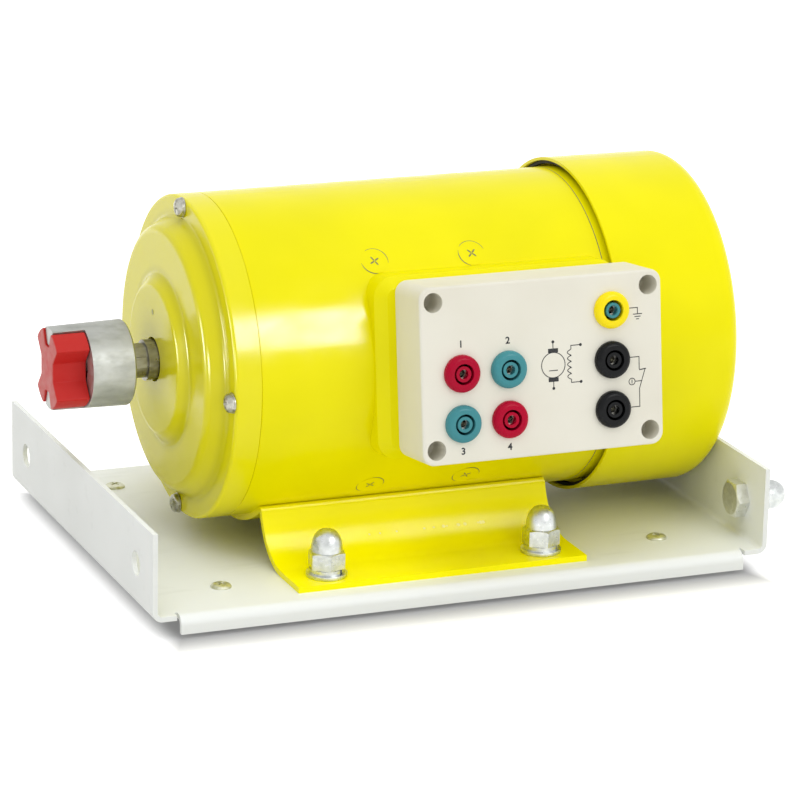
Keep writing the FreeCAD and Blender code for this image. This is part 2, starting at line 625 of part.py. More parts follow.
# ----------------------------------------------------------------------------------------------
# Foot bracket
# ----------------------------------------------------------------------------------------------
def bracket_outline():
    """Closed outline of the bracket's half section, from the saddle's middle to the foot's edge.

    Mid-sheet path: saddle arc about the shaft axis, crest bend, hollow skirt arc, flat foot.
    Each stretch is drawn twice, half a sheet above and half a sheet below that path.
    """
    crest = (-CREST_CIRCLE * math.sin(SADDLE_LEAN), AXIS_HEIGHT - CREST_CIRCLE * math.cos(SADDLE_LEAN))

    def saddle_point(part, offset):
        heading = SADDLE_LEAN * part
        radius = SADDLE_RADIUS - offset
        return V(0, -radius * math.sin(heading), AXIS_HEIGHT - radius * math.cos(heading))

    def crest_point(part, offset):
        heading = SADDLE_LEAN - part * (SADDLE_LEAN + SKIRT_LEAN)
        radius = CREST_RADIUS + offset
        return V(0, crest[0] + radius * math.sin(heading), crest[1] + radius * math.cos(heading))

    def skirt_point(part, offset):
        heading = SKIRT_LEAN * (1 - part)
        radius = SKIRT_RADIUS - offset
        return V(0, -FOOT_START + radius * math.sin(heading),
                 FOOT_MID + SKIRT_RADIUS - radius * math.cos(heading))

    edges = []
    for offset in (BRACKET_SHEET / 2, -BRACKET_SHEET / 2):
        for stretch in (saddle_point, crest_point, skirt_point):
            edges.append(Part.Arc(stretch(0, offset), stretch(0.5, offset), stretch(1, offset)))
        foot_end = V(0, -BRACKET_HALF_WIDTH, FOOT_MID + offset)
        edges.append(Part.LineSegment(skirt_point(1, offset), foot_end))
    edges.append(Part.LineSegment(saddle_point(0, BRACKET_SHEET / 2), saddle_point(0, -BRACKET_SHEET / 2)))
    foot_top = V(0, -BRACKET_HALF_WIDTH, FOOT_MID + BRACKET_SHEET / 2)
    edges.append(Part.LineSegment(foot_top, foot_top - V(0, 0, BRACKET_SHEET)))
    return Part.Wire(Part.__sortEdges__([edge.toShape() for edge in edges]))


def foot_bracket():
    """Formed sheet saddle that carries the tube on two long feet."""
    half = Part.Face(bracket_outline()).extrude(V(BRACKET_LENGTH, 0, 0))
    half.translate(V(BRACKET_CENTRE_X - BRACKET_LENGTH / 2, 0, 0))
    bracket = half.fuse(half.mirror(V(0, 0, 0), Y_DIR))
    reach = BRACKET_SHEET + 2 * EXTRA
    for place in bracket_places(PLATE_TOP - EXTRA):
        bracket = bracket.cut(Part.makeCylinder(M10.shank + BOLT_CLEARANCE, reach, place))
    for place in saddle_places():
        bracket = bracket.cut(Part.makeCylinder(M8.shank, reach, place - V(0, 0, EXTRA)))
    return bracket.removeSplitter()


def bracket_places(height):
    """The four foot bolts' axes at a height."""
    return [V(x, y, height)
            for x, y in corner_pairs(BRACKET_BOLT_SPACING_X, BRACKET_BOLT_SPACING_Y, BRACKET_CENTRE_X)]


def bracket_bolts():
    """Foot bolts, heads under the plate."""
    stack = SHEET + BRACKET_SHEET + M10.washer + M10.lock
    bolt = hex_bolt(M10, stack + M10.bore - EXTRA)
    return group([set_at(bolt, place, V(0, 0, -1)) for place in bracket_places(PLATE_BOTTOM)])


def bracket_washers():
    """Flat washers on the bracket's feet."""
    plain = washer(M10.shank + BOLT_CLEARANCE, M10.washer_radius, M10.washer)
    return group([set_at(plain, place, Z_DIR) for place in bracket_places(PLATE_TOP + BRACKET_SHEET)])


def lock_washers():
    """Lock washers between the flat washers and the domed nuts."""
    height = PLATE_TOP + BRACKET_SHEET + M10.washer
    lock = washer(M10.shank + BOLT_CLEARANCE, M10.lock_radius, M10.lock)
    return group([set_at(lock, place, Z_DIR) for place in bracket_places(height)])


def domed_nuts():
    """Domed nuts on the foot bolts."""
    height = PLATE_TOP + BRACKET_SHEET + M10.washer + M10.lock
    return group([set_at(domed_nut(M10), place, Z_DIR) for place in bracket_places(height)])


def saddle_places():
    """Where the two saddle screws' heads meet the saddle."""
    height = AXIS_HEIGHT - TUBE_RADIUS - BRACKET_SHEET
    return [V(BRACKET_CENTRE_X + side * SADDLE_SCREW_SPACING / 2, 0, height) for side in (-1, 1)]


def saddle_screws():
    """Screws from under the saddle into the tube."""
    screw = hex_bolt(M8, BRACKET_SHEET + TUBE_WALL - EXTRA)
    return group([set_at(screw, place, V(0, 0, -1)) for place in saddle_places()])


# ----------------------------------------------------------------------------------------------
# Casing
# ----------------------------------------------------------------------------------------------
def pole_screw_places():
    """X of the two screws of a pole."""
    return [POLE_CENTRE_X + side * POLE_SCREW_SPACING / 2 for side in (-1, 1)]


def pole_angles():
    """Angles of the poles' centre lines."""
    return [45.0 + i * 360.0 / POLE_COUNT for i in range(POLE_COUNT)]


def pole_screw_length():
    """From the tube's surface into the pole."""
    return TUBE_WALL + POLE_SCREW_DEPTH


def radial_tools(radius_outer, tool):
    """Copies of a tool drawn along +Z, laid radially at each pole screw with its top at a radius."""
    tools = []
    for x in pole_screw_places():
        laid = set_at(tool, V(x, -radius_outer, AXIS_HEIGHT), V(0, -1, 0))
        tools.extend([around(laid, angle) for angle in pole_angles()])
    return tools


def stator_tube():
    """Thick steel tube with the poles' screw holes, the lead hole and the end screws' threads."""
    tube = ring(TUBE_FRONT, TUBE_REAR, TUBE_BORE, TUBE_RADIUS)
    size = POLE_SCREW
    head = Part.makeCone(size.shank, size.head_radius, size.head, V(0, 0, -size.head))
    above = Part.makeCylinder(size.head_radius, EXTRA)
    shank = Part.makeCylinder(size.shank, TUBE_WALL + EXTRA, V(0, 0, -TUBE_WALL - EXTRA))
    cuts = radial_tools(TUBE_RADIUS, head.multiFuse([above, shank]))
    cuts += rim_holes(M5.shank, TUBE_FRONT, TUBE_FRONT + END_THREAD)
    cuts += rim_holes(M5.shank, TUBE_REAR - END_THREAD, TUBE_REAR)
    leads = panel_rod(BOX_CENTRE_X, -BOX_DROP, TUBE_BORE - 2 * EXTRA, RISER_FACE, LEAD_HOLE_RADIUS)
    cuts.append(tilted(leads))
    for place in saddle_places():
        cuts.append(Part.makeCylinder(M8.shank, BRACKET_SHEET + TUBE_WALL - EXTRA, place))
    return tube.cut(group(cuts))


def rim_holes(radius, x_from, x_to):
    """Holes along X at the places of the end screws."""
    start = V(x_from, -SHIELD_SCREW_CIRCLE, AXIS_HEIGHT)
    hole = Part.makeCylinder(radius, x_to - x_from, start, X_DIR)
    return spread(hole, SHIELD_SCREW_COUNT, SHIELD_SCREW_TURN)


def front_end_shield():
    """Cast front end shield: rim, large disc, nose with the bearing's seat."""
    spigot = TUBE_BORE - SPIGOT_CLEARANCE
    inside = spigot - SPIGOT_WALL
    wall_x = DISC_FACE + SHIELD_WALL
    boss = FRONT_BEARING.outer + SHIELD_WALL
    hole = FRONT_BEARING.bore + SHAFT_HOLE_GAP
    profile = [
        (TUBE_FRONT, TUBE_RADIUS - JOINT_CHAMFER), (TUBE_FRONT - JOINT_CHAMFER, TUBE_RADIUS),
        (RIM_FACE, TUBE_RADIUS), (RIM_FACE, DISC_BASE_RADIUS), (DISC_FACE, DISC_RADIUS),
        (DISC_FACE, NOSE_BASE_RADIUS), (NOSE_FACE, NOSE_RADIUS),
        (NOSE_FACE, hole), (FRONT_BEARING_X, hole),
        (FRONT_BEARING_X, FRONT_BEARING.outer), (FRONT_SHOULDER_X, FRONT_BEARING.outer),
        (FRONT_SHOULDER_X, boss), (wall_x, boss + SHIELD_WALL),
        (wall_x, DISC_RADIUS - 2 * SHIELD_WALL), (RIM_FACE + SHIELD_WALL, inside),
        (TUBE_FRONT + SPIGOT_LENGTH, inside), (TUBE_FRONT + SPIGOT_LENGTH, spigot),
        (TUBE_FRONT, spigot),
    ]
    shield = turned(profile)
    shield = rounded_rims(shield, [(RIM_FACE, TUBE_RADIUS)], RIM_ROUND)
    shield = rounded_rims(shield, [(RIM_FACE, DISC_BASE_RADIUS)], STEP_ROUND)
    shield = rounded_rims(shield, [(DISC_FACE, DISC_RADIUS)], DISC_ROUND)
    shield = rounded_rims(shield, [(DISC_FACE, NOSE_BASE_RADIUS), (NOSE_FACE, NOSE_RADIUS)], STEP_ROUND)
    spot_faces = rim_holes(M5.washer_radius + SPOT_FACE_GAP, DISC_FACE, RIM_FACE)
    holes = rim_holes(M5.shank + SPIGOT_CLEARANCE, RIM_FACE - EXTRA, TUBE_FRONT + EXTRA)
    return shield.cut(group(spot_faces)).cut(group(holes))


def rear_end_shield():
    """Rear end shield under the cover: rim, plate, boss with the bearing's seat, three tapped holes."""
    spigot = TUBE_BORE - SPIGOT_CLEARANCE
    hole = REAR_BEARING.bore + SHAFT_HOLE_GAP
    body_hole = BODY_SHAFT_RADIUS + SHAFT_HOLE_GAP
    profile = [
        (TUBE_REAR, TUBE_RADIUS - JOINT_CHAMFER), (TUBE_REAR + JOINT_CHAMFER, TUBE_RADIUS),
        (REAR_FACE_X, TUBE_RADIUS), (REAR_FACE_X, REAR_BOSS_RADIUS),
        (REAR_BOSS_END, REAR_BOSS_RADIUS), (REAR_BOSS_END, hole), (REAR_SEAT_END, hole),
        (REAR_SEAT_END, REAR_BEARING.outer), (REAR_BEARING_X, REAR_BEARING.outer),
        (REAR_BEARING_X, body_hole), (TUBE_REAR, body_hole),
        (TUBE_REAR, spigot - SPIGOT_WALL), (TUBE_REAR - SPIGOT_LENGTH, spigot - SPIGOT_WALL),
        (TUBE_REAR - SPIGOT_LENGTH, spigot), (TUBE_REAR, spigot),
    ]
    cuts = rim_holes(M5.shank + SPIGOT_CLEARANCE, TUBE_REAR - EXTRA, REAR_FACE_X + EXTRA)
    return turned(profile).cut(group(cuts + pillar_holes()))


def pillar_holes():
    """Tapped holes for the cover's pillars."""
    start = V(REAR_FACE_X - REAR_RIM_LENGTH, -PILLAR_CIRCLE_RADIUS, AXIS_HEIGHT)
    hole = Part.makeCylinder(M5.shank, REAR_RIM_LENGTH + EXTRA, start, X_DIR)
    return spread(hole, PILLAR_COUNT, 90.0)


def at_rims(front, rear, lift=0.0):
    """Fasteners drawn along +Z, set at every end screw's place, a lift above the two rims."""
    place = V(0, -SHIELD_SCREW_CIRCLE, AXIS_HEIGHT)
    front = set_at(front, place + V(RIM_FACE - lift, 0, 0), V(-1, 0, 0))
    rear = set_at(rear, place + V(REAR_FACE_X + lift, 0, 0), X_DIR)
    return group(spread(front, SHIELD_SCREW_COUNT, SHIELD_SCREW_TURN)
                 + spread(rear, SHIELD_SCREW_COUNT, SHIELD_SCREW_TURN))


def shield_screws():
    """Pan-head screws that hold the two end shields to the tube."""
    front = pan_screw(M5, RIM_LENGTH + M5.washer + END_THREAD)
    rear = pan_screw(M5, REAR_RIM_LENGTH + M5.washer + END_THREAD)
    return at_rims(front, rear, M5.washer)


def shield_washers():
    """Washers under the end screws' heads."""
    plain = washer(M5.shank + SPIGOT_CLEARANCE, M5.washer_radius, M5.washer)
    return at_rims(plain, plain)


def rear_cover():
    """Pressed sheet cover over the fan: tapered wall, rounded back, ringed intake grille."""
    back = COVER_RADIUS - COVER_TAPER
    outer = turned([(COVER_FRONT_X, 0), (COVER_FRONT_X, COVER_RADIUS),
                    (COVER_REAR_X, back), (COVER_REAR_X, 0)])
    outer = rounded_rims(outer, [(COVER_REAR_X, back)], COVER_ROUND)
    inner_x = COVER_REAR_X - COVER_SHEET
    inner = turned([(COVER_FRONT_X - EXTRA, 0), (COVER_FRONT_X - EXTRA, COVER_RADIUS - COVER_SHEET),
                    (COVER_FRONT_X, COVER_RADIUS - COVER_SHEET),
                    (inner_x, back - COVER_SHEET), (inner_x, 0)])
    inner = rounded_rims(inner, [(inner_x, back - COVER_SHEET)], COVER_ROUND - COVER_SHEET)
    start = V(inner_x - EXTRA, -PILLAR_CIRCLE_RADIUS, AXIS_HEIGHT)
    screw_hole = Part.makeCylinder(M5.shank + SPIGOT_CLEARANCE, COVER_SHEET + 2 * EXTRA, start, X_DIR)
    return outer.cut(inner).cut(group(grille_slots() + spread(screw_hole, PILLAR_COUNT, 90.0)))


def grille_slots():
    """Ring slots of the intake grille, broken by the spokes."""
    x_from = COVER_REAR_X - COVER_SHEET - EXTRA
    x_to = COVER_REAR_X + EXTRA
    reach = GRILLE_FIRST_RADIUS + GRILLE_RINGS * GRILLE_PITCH
    half = GRILLE_SPOKE_WIDTH / 2
    spoke = block((x_from - EXTRA, -reach, AXIS_HEIGHT - half), (x_to + EXTRA, 0, AXIS_HEIGHT + half))
    spokes = spread(spoke, GRILLE_SPOKES)
    slots = []
    for i in range(GRILLE_RINGS):
        inner = GRILLE_FIRST_RADIUS + i * GRILLE_PITCH
        slots.append(ring(x_from, x_to, inner, inner + GRILLE_SLOT).cut(group(spokes)))
    return slots


def cover_pillars():
    """Hexagon pillars from the rear end shield to the cover's back."""
    length = COVER_REAR_X - COVER_SHEET - REAR_FACE_X
    pillar = hex_prism(PILLAR_FLATS, length)
    pillar = pillar.cut(Part.makeCylinder(M5.shank, COVER_THREAD, V(0, 0, length - COVER_THREAD)))
    stud = Part.makeCylinder(M5.shank, REAR_RIM_LENGTH, V(0, 0, -REAR_RIM_LENGTH))
    pillar = set_at(pillar.fuse(stud), V(REAR_FACE_X, -PILLAR_CIRCLE_RADIUS, AXIS_HEIGHT), X_DIR)
    return group(spread(pillar, PILLAR_COUNT, 90.0))


def cover_screws():
    """Screws that hold the cover to its pillars."""
    screw = pan_screw(M5, COVER_SHEET + COVER_THREAD)
    screw = set_at(screw, V(COVER_REAR_X, -PILLAR_CIRCLE_RADIUS, AXIS_HEIGHT), X_DIR)
    return group(spread(screw, PILLAR_COUNT, 90.0))


# ----------------------------------------------------------------------------------------------
# Field
# ----------------------------------------------------------------------------------------------
def pole_cores():
    """Four laminated poles: body, curved shoe and two tapped holes each."""
    shoe = turned([(CORE_FRONT_X, SHOE_RADIUS), (CORE_REAR_X, SHOE_RADIUS),
                   (CORE_REAR_X, SHOE_OUTER), (CORE_FRONT_X, SHOE_OUTER)], SHOE_ANGLE)
    # turned() starts on top and turns towards -Y; bring the shoe's middle to the -Y side.
    shoe = around(shoe, SHOE_ANGLE / 2 - 90.0)
    half = POLE_WIDTH / 2
    mid_radius = (SHOE_RADIUS + SHOE_OUTER) / 2
    body = block((CORE_FRONT_X + POLE_END_INSET, -TUBE_RADIUS, AXIS_HEIGHT - half),
                 (CORE_REAR_X - POLE_END_INSET, -mid_radius, AXIS_HEIGHT + half))
    body = body.common(rod(CORE_FRONT_X, CORE_REAR_X, TUBE_BORE))
    pole = shoe.fuse(body).removeSplitter()
    for x in pole_screw_places():
        start = V(x, -TUBE_BORE - EXTRA, AXIS_HEIGHT)
        pole = pole.cut(Part.makeCylinder(POLE_SCREW.shank, POLE_SCREW_DEPTH + EXTRA, start, Y_DIR))
    return group([around(pole, angle) for angle in pole_angles()])


def pole_screws():
    """Flush screws from outside the tube into the poles."""
    return group(radial_tools(TUBE_RADIUS, flush_screw(POLE_SCREW, pole_screw_length())))


def coil_inner_half():
    """Half widths of the window of a field coil: along X and across the pole."""
    return (CORE_LENGTH / 2 - POLE_END_INSET + COIL_GAP, POLE_WIDTH / 2 + COIL_GAP)


def field_coils():
    """Taped field coils round the pole bodies."""
    along, across = coil_inner_half()
    bottom = SHOE_OUTER + COIL_GAP
    top = bottom + COIL_HEIGHT
    outer = block((POLE_CENTRE_X - along - COIL_THICKNESS, -top, AXIS_HEIGHT - across - COIL_THICKNESS),
                  (POLE_CENTRE_X + along + COIL_THICKNESS, -bottom, AXIS_HEIGHT + across + COIL_THICKNESS))
    outer = rounded_along(outer, COIL_CORNER, Y_DIR)
    window = block((POLE_CENTRE_X - along, -top - EXTRA, AXIS_HEIGHT - across),
                   (POLE_CENTRE_X + along, -bottom + EXTRA, AXIS_HEIGHT + across))
    coil = outer.cut(window)
    return group([around(coil, angle) for angle in pole_angles()])


def thermal_switch():
    """Small thermal contact clamped on the end of the upper front coil."""
    along = coil_inner_half()[0]
    x_to = POLE_CENTRE_X - along - COIL_THICKNESS
    bottom = SHOE_OUTER + COIL_GAP
    half = THERMAL_LENGTH / 2
    switch = block((x_to - THERMAL_THICKNESS, -bottom - THERMAL_WIDTH, AXIS_HEIGHT - half),
                   (x_to, -bottom, AXIS_HEIGHT + half))
    return around(rounded_along(switch, THERMAL_ROUND, Y_DIR), pole_angles()[0])


# ----------------------------------------------------------------------------------------------
# Bearings
# ----------------------------------------------------------------------------------------------
def race_tool(bearing, x_from):
    """Ring of round section that cuts the two races."""
    middle = V(x_from + bearing.width / 2, 0, AXIS_HEIGHT)
    pitch = (bearing.bore + bearing.outer) / 2
    return Part.makeTorus(pitch, bearing.ball_radius + RACE_CLEARANCE, middle, X_DIR)


def bearing_outer(bearing, x_from):
    """Outer ring with its race."""
    height = (bearing.outer - bearing.bore) * RING_HEIGHT_SHARE
    plain = ring(x_from, x_from + bearing.width, bearing.outer - height, bearing.outer)
    return plain.cut(race_tool(bearing, x_from))


def bearing_inner(bearing, x_from):
    """Inner ring with its race."""
    height = (bearing.outer - bearing.bore) * RING_HEIGHT_SHARE
    plain = ring(x_from, x_from + bearing.width, bearing.bore, bearing.bore + height)
    return plain.cut(race_tool(bearing, x_from))


def ball_set(bearing, x_from):
    """Balls of one bearing."""
    pitch = (bearing.bore + bearing.outer) / 2
    ball = Part.makeSphere(bearing.ball_radius, V(x_from + bearing.width / 2, -pitch, AXIS_HEIGHT))
    return spread(ball, bearing.balls)


def bearing_balls():
    """Balls of both bearings."""
    return group(ball_set(FRONT_BEARING, FRONT_BEARING_X) + ball_set(REAR_BEARING, REAR_BEARING_X))


def preload_washer():
    """Spring washer that presses the rear bearing forwards."""
    outer = REAR_BEARING.outer - PRELOAD_SIDE_GAP
    height = (REAR_BEARING.outer - REAR_BEARING.bore) * RING_HEIGHT_SHARE
    return ring(REAR_BEARING_END, REAR_SEAT_END, outer - height, outer)


# ----------------------------------------------------------------------------------------------
# Armature and fan
# ----------------------------------------------------------------------------------------------
def key_block(width, x_from, x_to, low, high):
    """Block along the shaft between two radii, at the key's angle."""
    half = width / 2
    return around(block((x_from, -high, AXIS_HEIGHT - half), (x_to, -low, AXIS_HEIGHT + half)), KEY_ANGLE)


def key_ends():
    """X of the key's two ends."""
    return (SHAFT_FRONT_X + KEY_INSET, SHAFT_FRONT_X + KEY_INSET + KEY_LENGTH)


def shaft():
    """Stepped shaft: coupling end, two bearing seats, body, fan seat with its clip's groove."""
    groove_x = FAN_REAR_X
    groove = FAN_SHAFT_RADIUS - CLIP_DEPTH
    end_x = groove_x + CLIP_THICKNESS + 2 * CLIP_DEPTH
    profile = [
        (SHAFT_FRONT_X, 0), (SHAFT_FRONT_X, SHAFT_END_RADIUS), (SHAFT_STEP_X, SHAFT_END_RADIUS),
        (SHAFT_STEP_X, FRONT_BEARING.bore), (FRONT_SHOULDER_X, FRONT_BEARING.bore),
        (FRONT_SHOULDER_X, BODY_SHAFT_RADIUS), (REAR_BEARING_X, BODY_SHAFT_RADIUS),
        (REAR_BEARING_X, REAR_BEARING.bore), (REAR_BOSS_END, REAR_BEARING.bore),
        (REAR_BOSS_END, FAN_SHAFT_RADIUS), (groove_x, FAN_SHAFT_RADIUS), (groove_x, groove),
        (groove_x + CLIP_THICKNESS, groove), (groove_x + CLIP_THICKNESS, FAN_SHAFT_RADIUS),
        (end_x, FAN_SHAFT_RADIUS), (end_x, 0),
    ]
    x_from, x_to = key_ends()
    keyway = key_block(KEY_WIDTH, x_from, x_to, SHAFT_END_RADIUS - KEY_DEPTH, SHAFT_END_RADIUS + EXTRA)
    return turned(profile).cut(keyway)


def shaft_key():
    """Parallel key between the shaft and the hub."""
    x_from, x_to = key_ends()
    low = SHAFT_END_RADIUS - KEY_DEPTH
    return key_block(KEY_WIDTH, x_from, x_to, low, low + KEY_HEIGHT)


def slot_block(width, low, high):
    """Block for one slot on the -Y side, a little longer than the core."""
    return block((CORE_FRONT_X - EXTRA, -high, AXIS_HEIGHT - width / 2),
                 (CORE_REAR_X + EXTRA, -low, AXIS_HEIGHT + width / 2))


def armature_core():
    """Laminated core with open slots."""
    core = ring(CORE_FRONT_X, CORE_REAR_X, BODY_SHAFT_RADIUS, CORE_RADIUS)
    slot = slot_block(SLOT_WIDTH, SLOT_BOTTOM_RADIUS, CORE_RADIUS + EXTRA)
    return core.cut(group(spread(slot, SLOT_COUNT)))


def winding_head(near, outward):
    """Ring of end turns beside the core, from near outwards along X."""
    far = near + outward * HEAD_LENGTH
    slope = far - outward * HEAD_CHAMFER
    return turned([(near, HEAD_INNER_RADIUS), (near, HEAD_OUTER_RADIUS), (slope, HEAD_OUTER_RADIUS),
                   (far, HEAD_OUTER_RADIUS - HEAD_CHAMFER), (far, HEAD_INNER_RADIUS)])


def armature_winding():
    """Winding: a bar of copper in every slot and a head at each end."""
    bar = slot_block(SLOT_WIDTH - 2 * WINDING_GAP, SLOT_BOTTOM_RADIUS + WINDING_GAP,
                     CORE_RADIUS - WINDING_RECESS)
    front = winding_head(CORE_FRONT_X, -1)
    rear = winding_head(CORE_REAR_X, 1)
    return front.multiFuse([rear] + spread(bar, SLOT_COUNT)).removeSplitter()


def commutator_sleeve():
    """Insulating sleeve that carries the bars on the shaft."""
    return ring(COMMUTATOR_X, COMMUTATOR_END, BODY_SHAFT_RADIUS, BAR_INNER_RADIUS)


def commutator_bars():
    """Copper bars with their risers, one for each slot."""
    riser_x = COMMUTATOR_X + RISER_LENGTH
    gap_angle = math.degrees(BAR_SPACE / COMMUTATOR_RADIUS)
    bar = turned([(COMMUTATOR_X, BAR_INNER_RADIUS), (COMMUTATOR_X, RISER_RADIUS), (riser_x, RISER_RADIUS),
                  (riser_x, COMMUTATOR_RADIUS), (COMMUTATOR_END, COMMUTATOR_RADIUS),
                  (COMMUTATOR_END, BAR_INNER_RADIUS)], 360.0 / SLOT_COUNT - gap_angle)
    return group(spread(bar, SLOT_COUNT))


def cooling_fan():
    """Radial fan: hub, back plate and straight blades."""
    plate = rod(FAN_FRONT_X, FAN_FRONT_X + FAN_PLATE, FAN_RADIUS)
    hub = rod(FAN_FRONT_X, FAN_REAR_X, FAN_HUB_RADIUS)
    blade = block((FAN_FRONT_X, -FAN_RADIUS, AXIS_HEIGHT - FAN_BLADE / 2),
                  (FAN_REAR_X, -FAN_HUB_RADIUS + EXTRA, AXIS_HEIGHT + FAN_BLADE / 2))
    blade = blade.common(rod(FAN_FRONT_X, FAN_REAR_X, FAN_RADIUS))
    fan = plate.multiFuse([hub] + spread(blade, FAN_BLADES)).removeSplitter()
    return fan.cut(rod(FAN_FRONT_X - EXTRA, FAN_REAR_X + EXTRA, FAN_SHAFT_RADIUS))


def fan_clip():
    """Snap ring behind the fan."""
    groove = FAN_SHAFT_RADIUS - CLIP_DEPTH
    clip = ring(FAN_REAR_X, FAN_REAR_X + CLIP_THICKNESS, groove, CLIP_RADIUS)
    opening = block((FAN_REAR_X - EXTRA, -CLIP_RADIUS - EXTRA, AXIS_HEIGHT - CLIP_DEPTH),
                    (FAN_REAR_X + CLIP_THICKNESS + EXTRA, 0, AXIS_HEIGHT + CLIP_DEPTH))
    return clip.cut(opening)


# ----------------------------------------------------------------------------------------------
# Brush gear
# ----------------------------------------------------------------------------------------------
BRUSH_ANGLES = {"brush_front": 0.0, "brush_top": 90.0, "brush_back": 180.0, "brush_bottom": 270.0}


def brush_box_block(extra, low, high):
    """Block round the brush's place, on the -Y side, wider than the brush by extra on each side."""
    axial = BRUSH_AXIAL / 2 + extra
    tangential = BRUSH_TANGENTIAL / 2 + extra
    return block((BRUSH_X - axial, -high, AXIS_HEIGHT - tangential),
                 (BRUSH_X + axial, -low, AXIS_HEIGHT + tangential))


def brush_ring():
    """Insulating ring that carries the four brush boxes."""
    return ring(BRUSH_RING_X, TUBE_REAR, BRUSH_RING_INNER, BRUSH_RING_OUTER)


def brush_holders():
    """Four brass brush boxes, closed at the top."""
    mouth = COMMUTATOR_RADIUS + BRUSH_BOX_LIFT
    outer = brush_box_block(BRUSH_SIDE_GAP + BRUSH_BOX_WALL, mouth, BRUSH_BOX_TOP)
    inner = brush_box_block(BRUSH_SIDE_GAP, mouth - EXTRA, BRUSH_BOX_TOP - BRUSH_BOX_WALL)
    return group(spread(outer.cut(inner), len(BRUSH_ANGLES)))


def brush(angle):
    """Carbon brush with a hollow face that fits the commutator."""
    blank = brush_box_block(0.0, BAR_INNER_RADIUS, BRUSH_TOP)
    face = rod(BRUSH_X - BRUSH_AXIAL, BRUSH_X + BRUSH_AXIAL, BRUSH_FACE_RADIUS)
    return around(blank.cut(face), angle)


def brush_springs():
    """Springs between each brush and the top of its box, as plain sleeves."""
    inner = BRUSH_SPRING_RADIUS - BRUSH_SPRING_WIRE
    sleeve = washer(inner, BRUSH_SPRING_RADIUS, BRUSH_SPRING_LENGTH)
    sleeve = set_at(sleeve, V(BRUSH_X, -BRUSH_TOP, AXIS_HEIGHT), V(0, -1, 0))
    return group(spread(sleeve, len(BRUSH_ANGLES)))


# ----------------------------------------------------------------------------------------------
# Coupling
# ----------------------------------------------------------------------------------------------
def gap_wedge(bottom, bottom_half, top, top_half, x_from, x_to, clearance=0.0):
    """Wedge above the axis that shapes a gap between legs, open outwards, drawn in by a clearance."""
    slope = (top_half - bottom_half) / (top - bottom)
    reach = 2 * top
    low = bottom + clearance
    narrow = bottom_half - clearance
    wide = narrow + slope * (reach - low)
    corners = [(-narrow, low), (narrow, low), (wide, reach), (-wide, reach)]
    outline = face_of([V(x_from, y, AXIS_HEIGHT + z) for y, z in corners])
    wedge = outline.extrude(V(x_to - x_from, 0, 0))
    edges = [edge for edge in wedge.Edges
             if edge.BoundBox.ZMax < AXIS_HEIGHT + low + CLOSE and edge.BoundBox.XLength > CLOSE]
    return wedge.makeFillet(SPIDER_CORNER, edges)


def jaw_gap(x_from, x_to, clearance=0.0):
    """Upper one of the two gaps that hold this hub's jaws."""
    return gap_wedge(JAW_GAP_BOTTOM, JAW_GAP_BOTTOM_HALF, JAW_GAP_TOP, JAW_GAP_TOP_HALF,
                     x_from, x_to, clearance)


def hub_cone():
    """Outer cone of the hub and its jaws."""
    return turned([(HUB_REAR_X, 0), (HUB_REAR_X, HUB_REAR_RADIUS - HUB_CHAMFER),
                   (HUB_REAR_X - HUB_CHAMFER, HUB_REAR_RADIUS), (JAW_TIP_X, HUB_FRONT_RADIUS),
                   (JAW_TIP_X, 0)])


def set_screw_rod(low, high):
    """Cylinder on the set screw's axis, on the +Y side, between two radii."""
    x = (HUB_REAR_X + HUB_FACE_X) / 2
    return Part.makeCylinder(M5.shank, high - low, V(x, low, AXIS_HEIGHT), Y_DIR)


def coupling_hub():
    """Cast hub with two jaws, a keyed bore and a set screw's hole."""
    jaw = jaw_gap(JAW_TIP_X, HUB_FACE_X, SPIDER_CLEARANCE)
    jaws = [copy.common(hub_cone()) for copy in spread(jaw, 2)]
    body = hub_cone().common(rod(HUB_FACE_X, HUB_REAR_X, HUB_REAR_RADIUS))
    hub = body.multiFuse(jaws).removeSplitter()
    bore = turned([(HUB_FACE_X, 0), (HUB_FACE_X, SHAFT_END_RADIUS + BORE_CHAMFER),
                   (HUB_FACE_X + BORE_CHAMFER, SHAFT_END_RADIUS), (HUB_REAR_X + EXTRA, SHAFT_END_RADIUS),
                   (HUB_REAR_X + EXTRA, 0)])
    top = SHAFT_END_RADIUS - KEY_DEPTH + KEY_HEIGHT + KEY_CLEARANCE
    keyway = key_block(KEY_WIDTH, HUB_FACE_X - EXTRA, HUB_REAR_X + EXTRA, 0, top)
    return hub.cut(group([bore, keyway])).cut(set_screw_rod(0, 2 * HUB_REAR_RADIUS))


def hub_set_screw():
    """Headless screw that presses on the shaft."""
    return set_screw_rod(SHAFT_END_RADIUS, SHAFT_END_RADIUS + SET_SCREW_LENGTH)


def coupling_spider():
    """Elastic spider between the jaws: four flat-ended legs, two narrow gaps and two wide ones."""
    x_to = HUB_FACE_X - SPIDER_CLEARANCE
    x_from = x_to - SPIDER_THICKNESS
    jaw_gaps = spread(jaw_gap(x_from - EXTRA, x_to + EXTRA), 2)
    side_gap = gap_wedge(SIDE_GAP_BOTTOM, SIDE_GAP_BOTTOM_HALF, SIDE_GAP_TOP, SIDE_GAP_TOP_HALF,
                         x_from - EXTRA, x_to + EXTRA)
    side_gaps = spread(side_gap, 2, 90.0)
    spider = rod(x_from, x_to, SPIDER_RADIUS).cut(group(jaw_gaps + side_gaps))
    corners = [edge for edge in spider.Edges if is_leg_corner(edge)]
    return spider.makeFillet(SPIDER_CORNER, corners)


def is_leg_corner(edge):
    """Whether an edge runs along a leg's outer corner."""
    box = edge.BoundBox
    radius = math.hypot(box.Center.y, box.Center.z - AXIS_HEIGHT)
    along = box.YLength < CLOSE and box.ZLength < CLOSE
    return along and abs(radius - SPIDER_RADIUS) < CLOSE


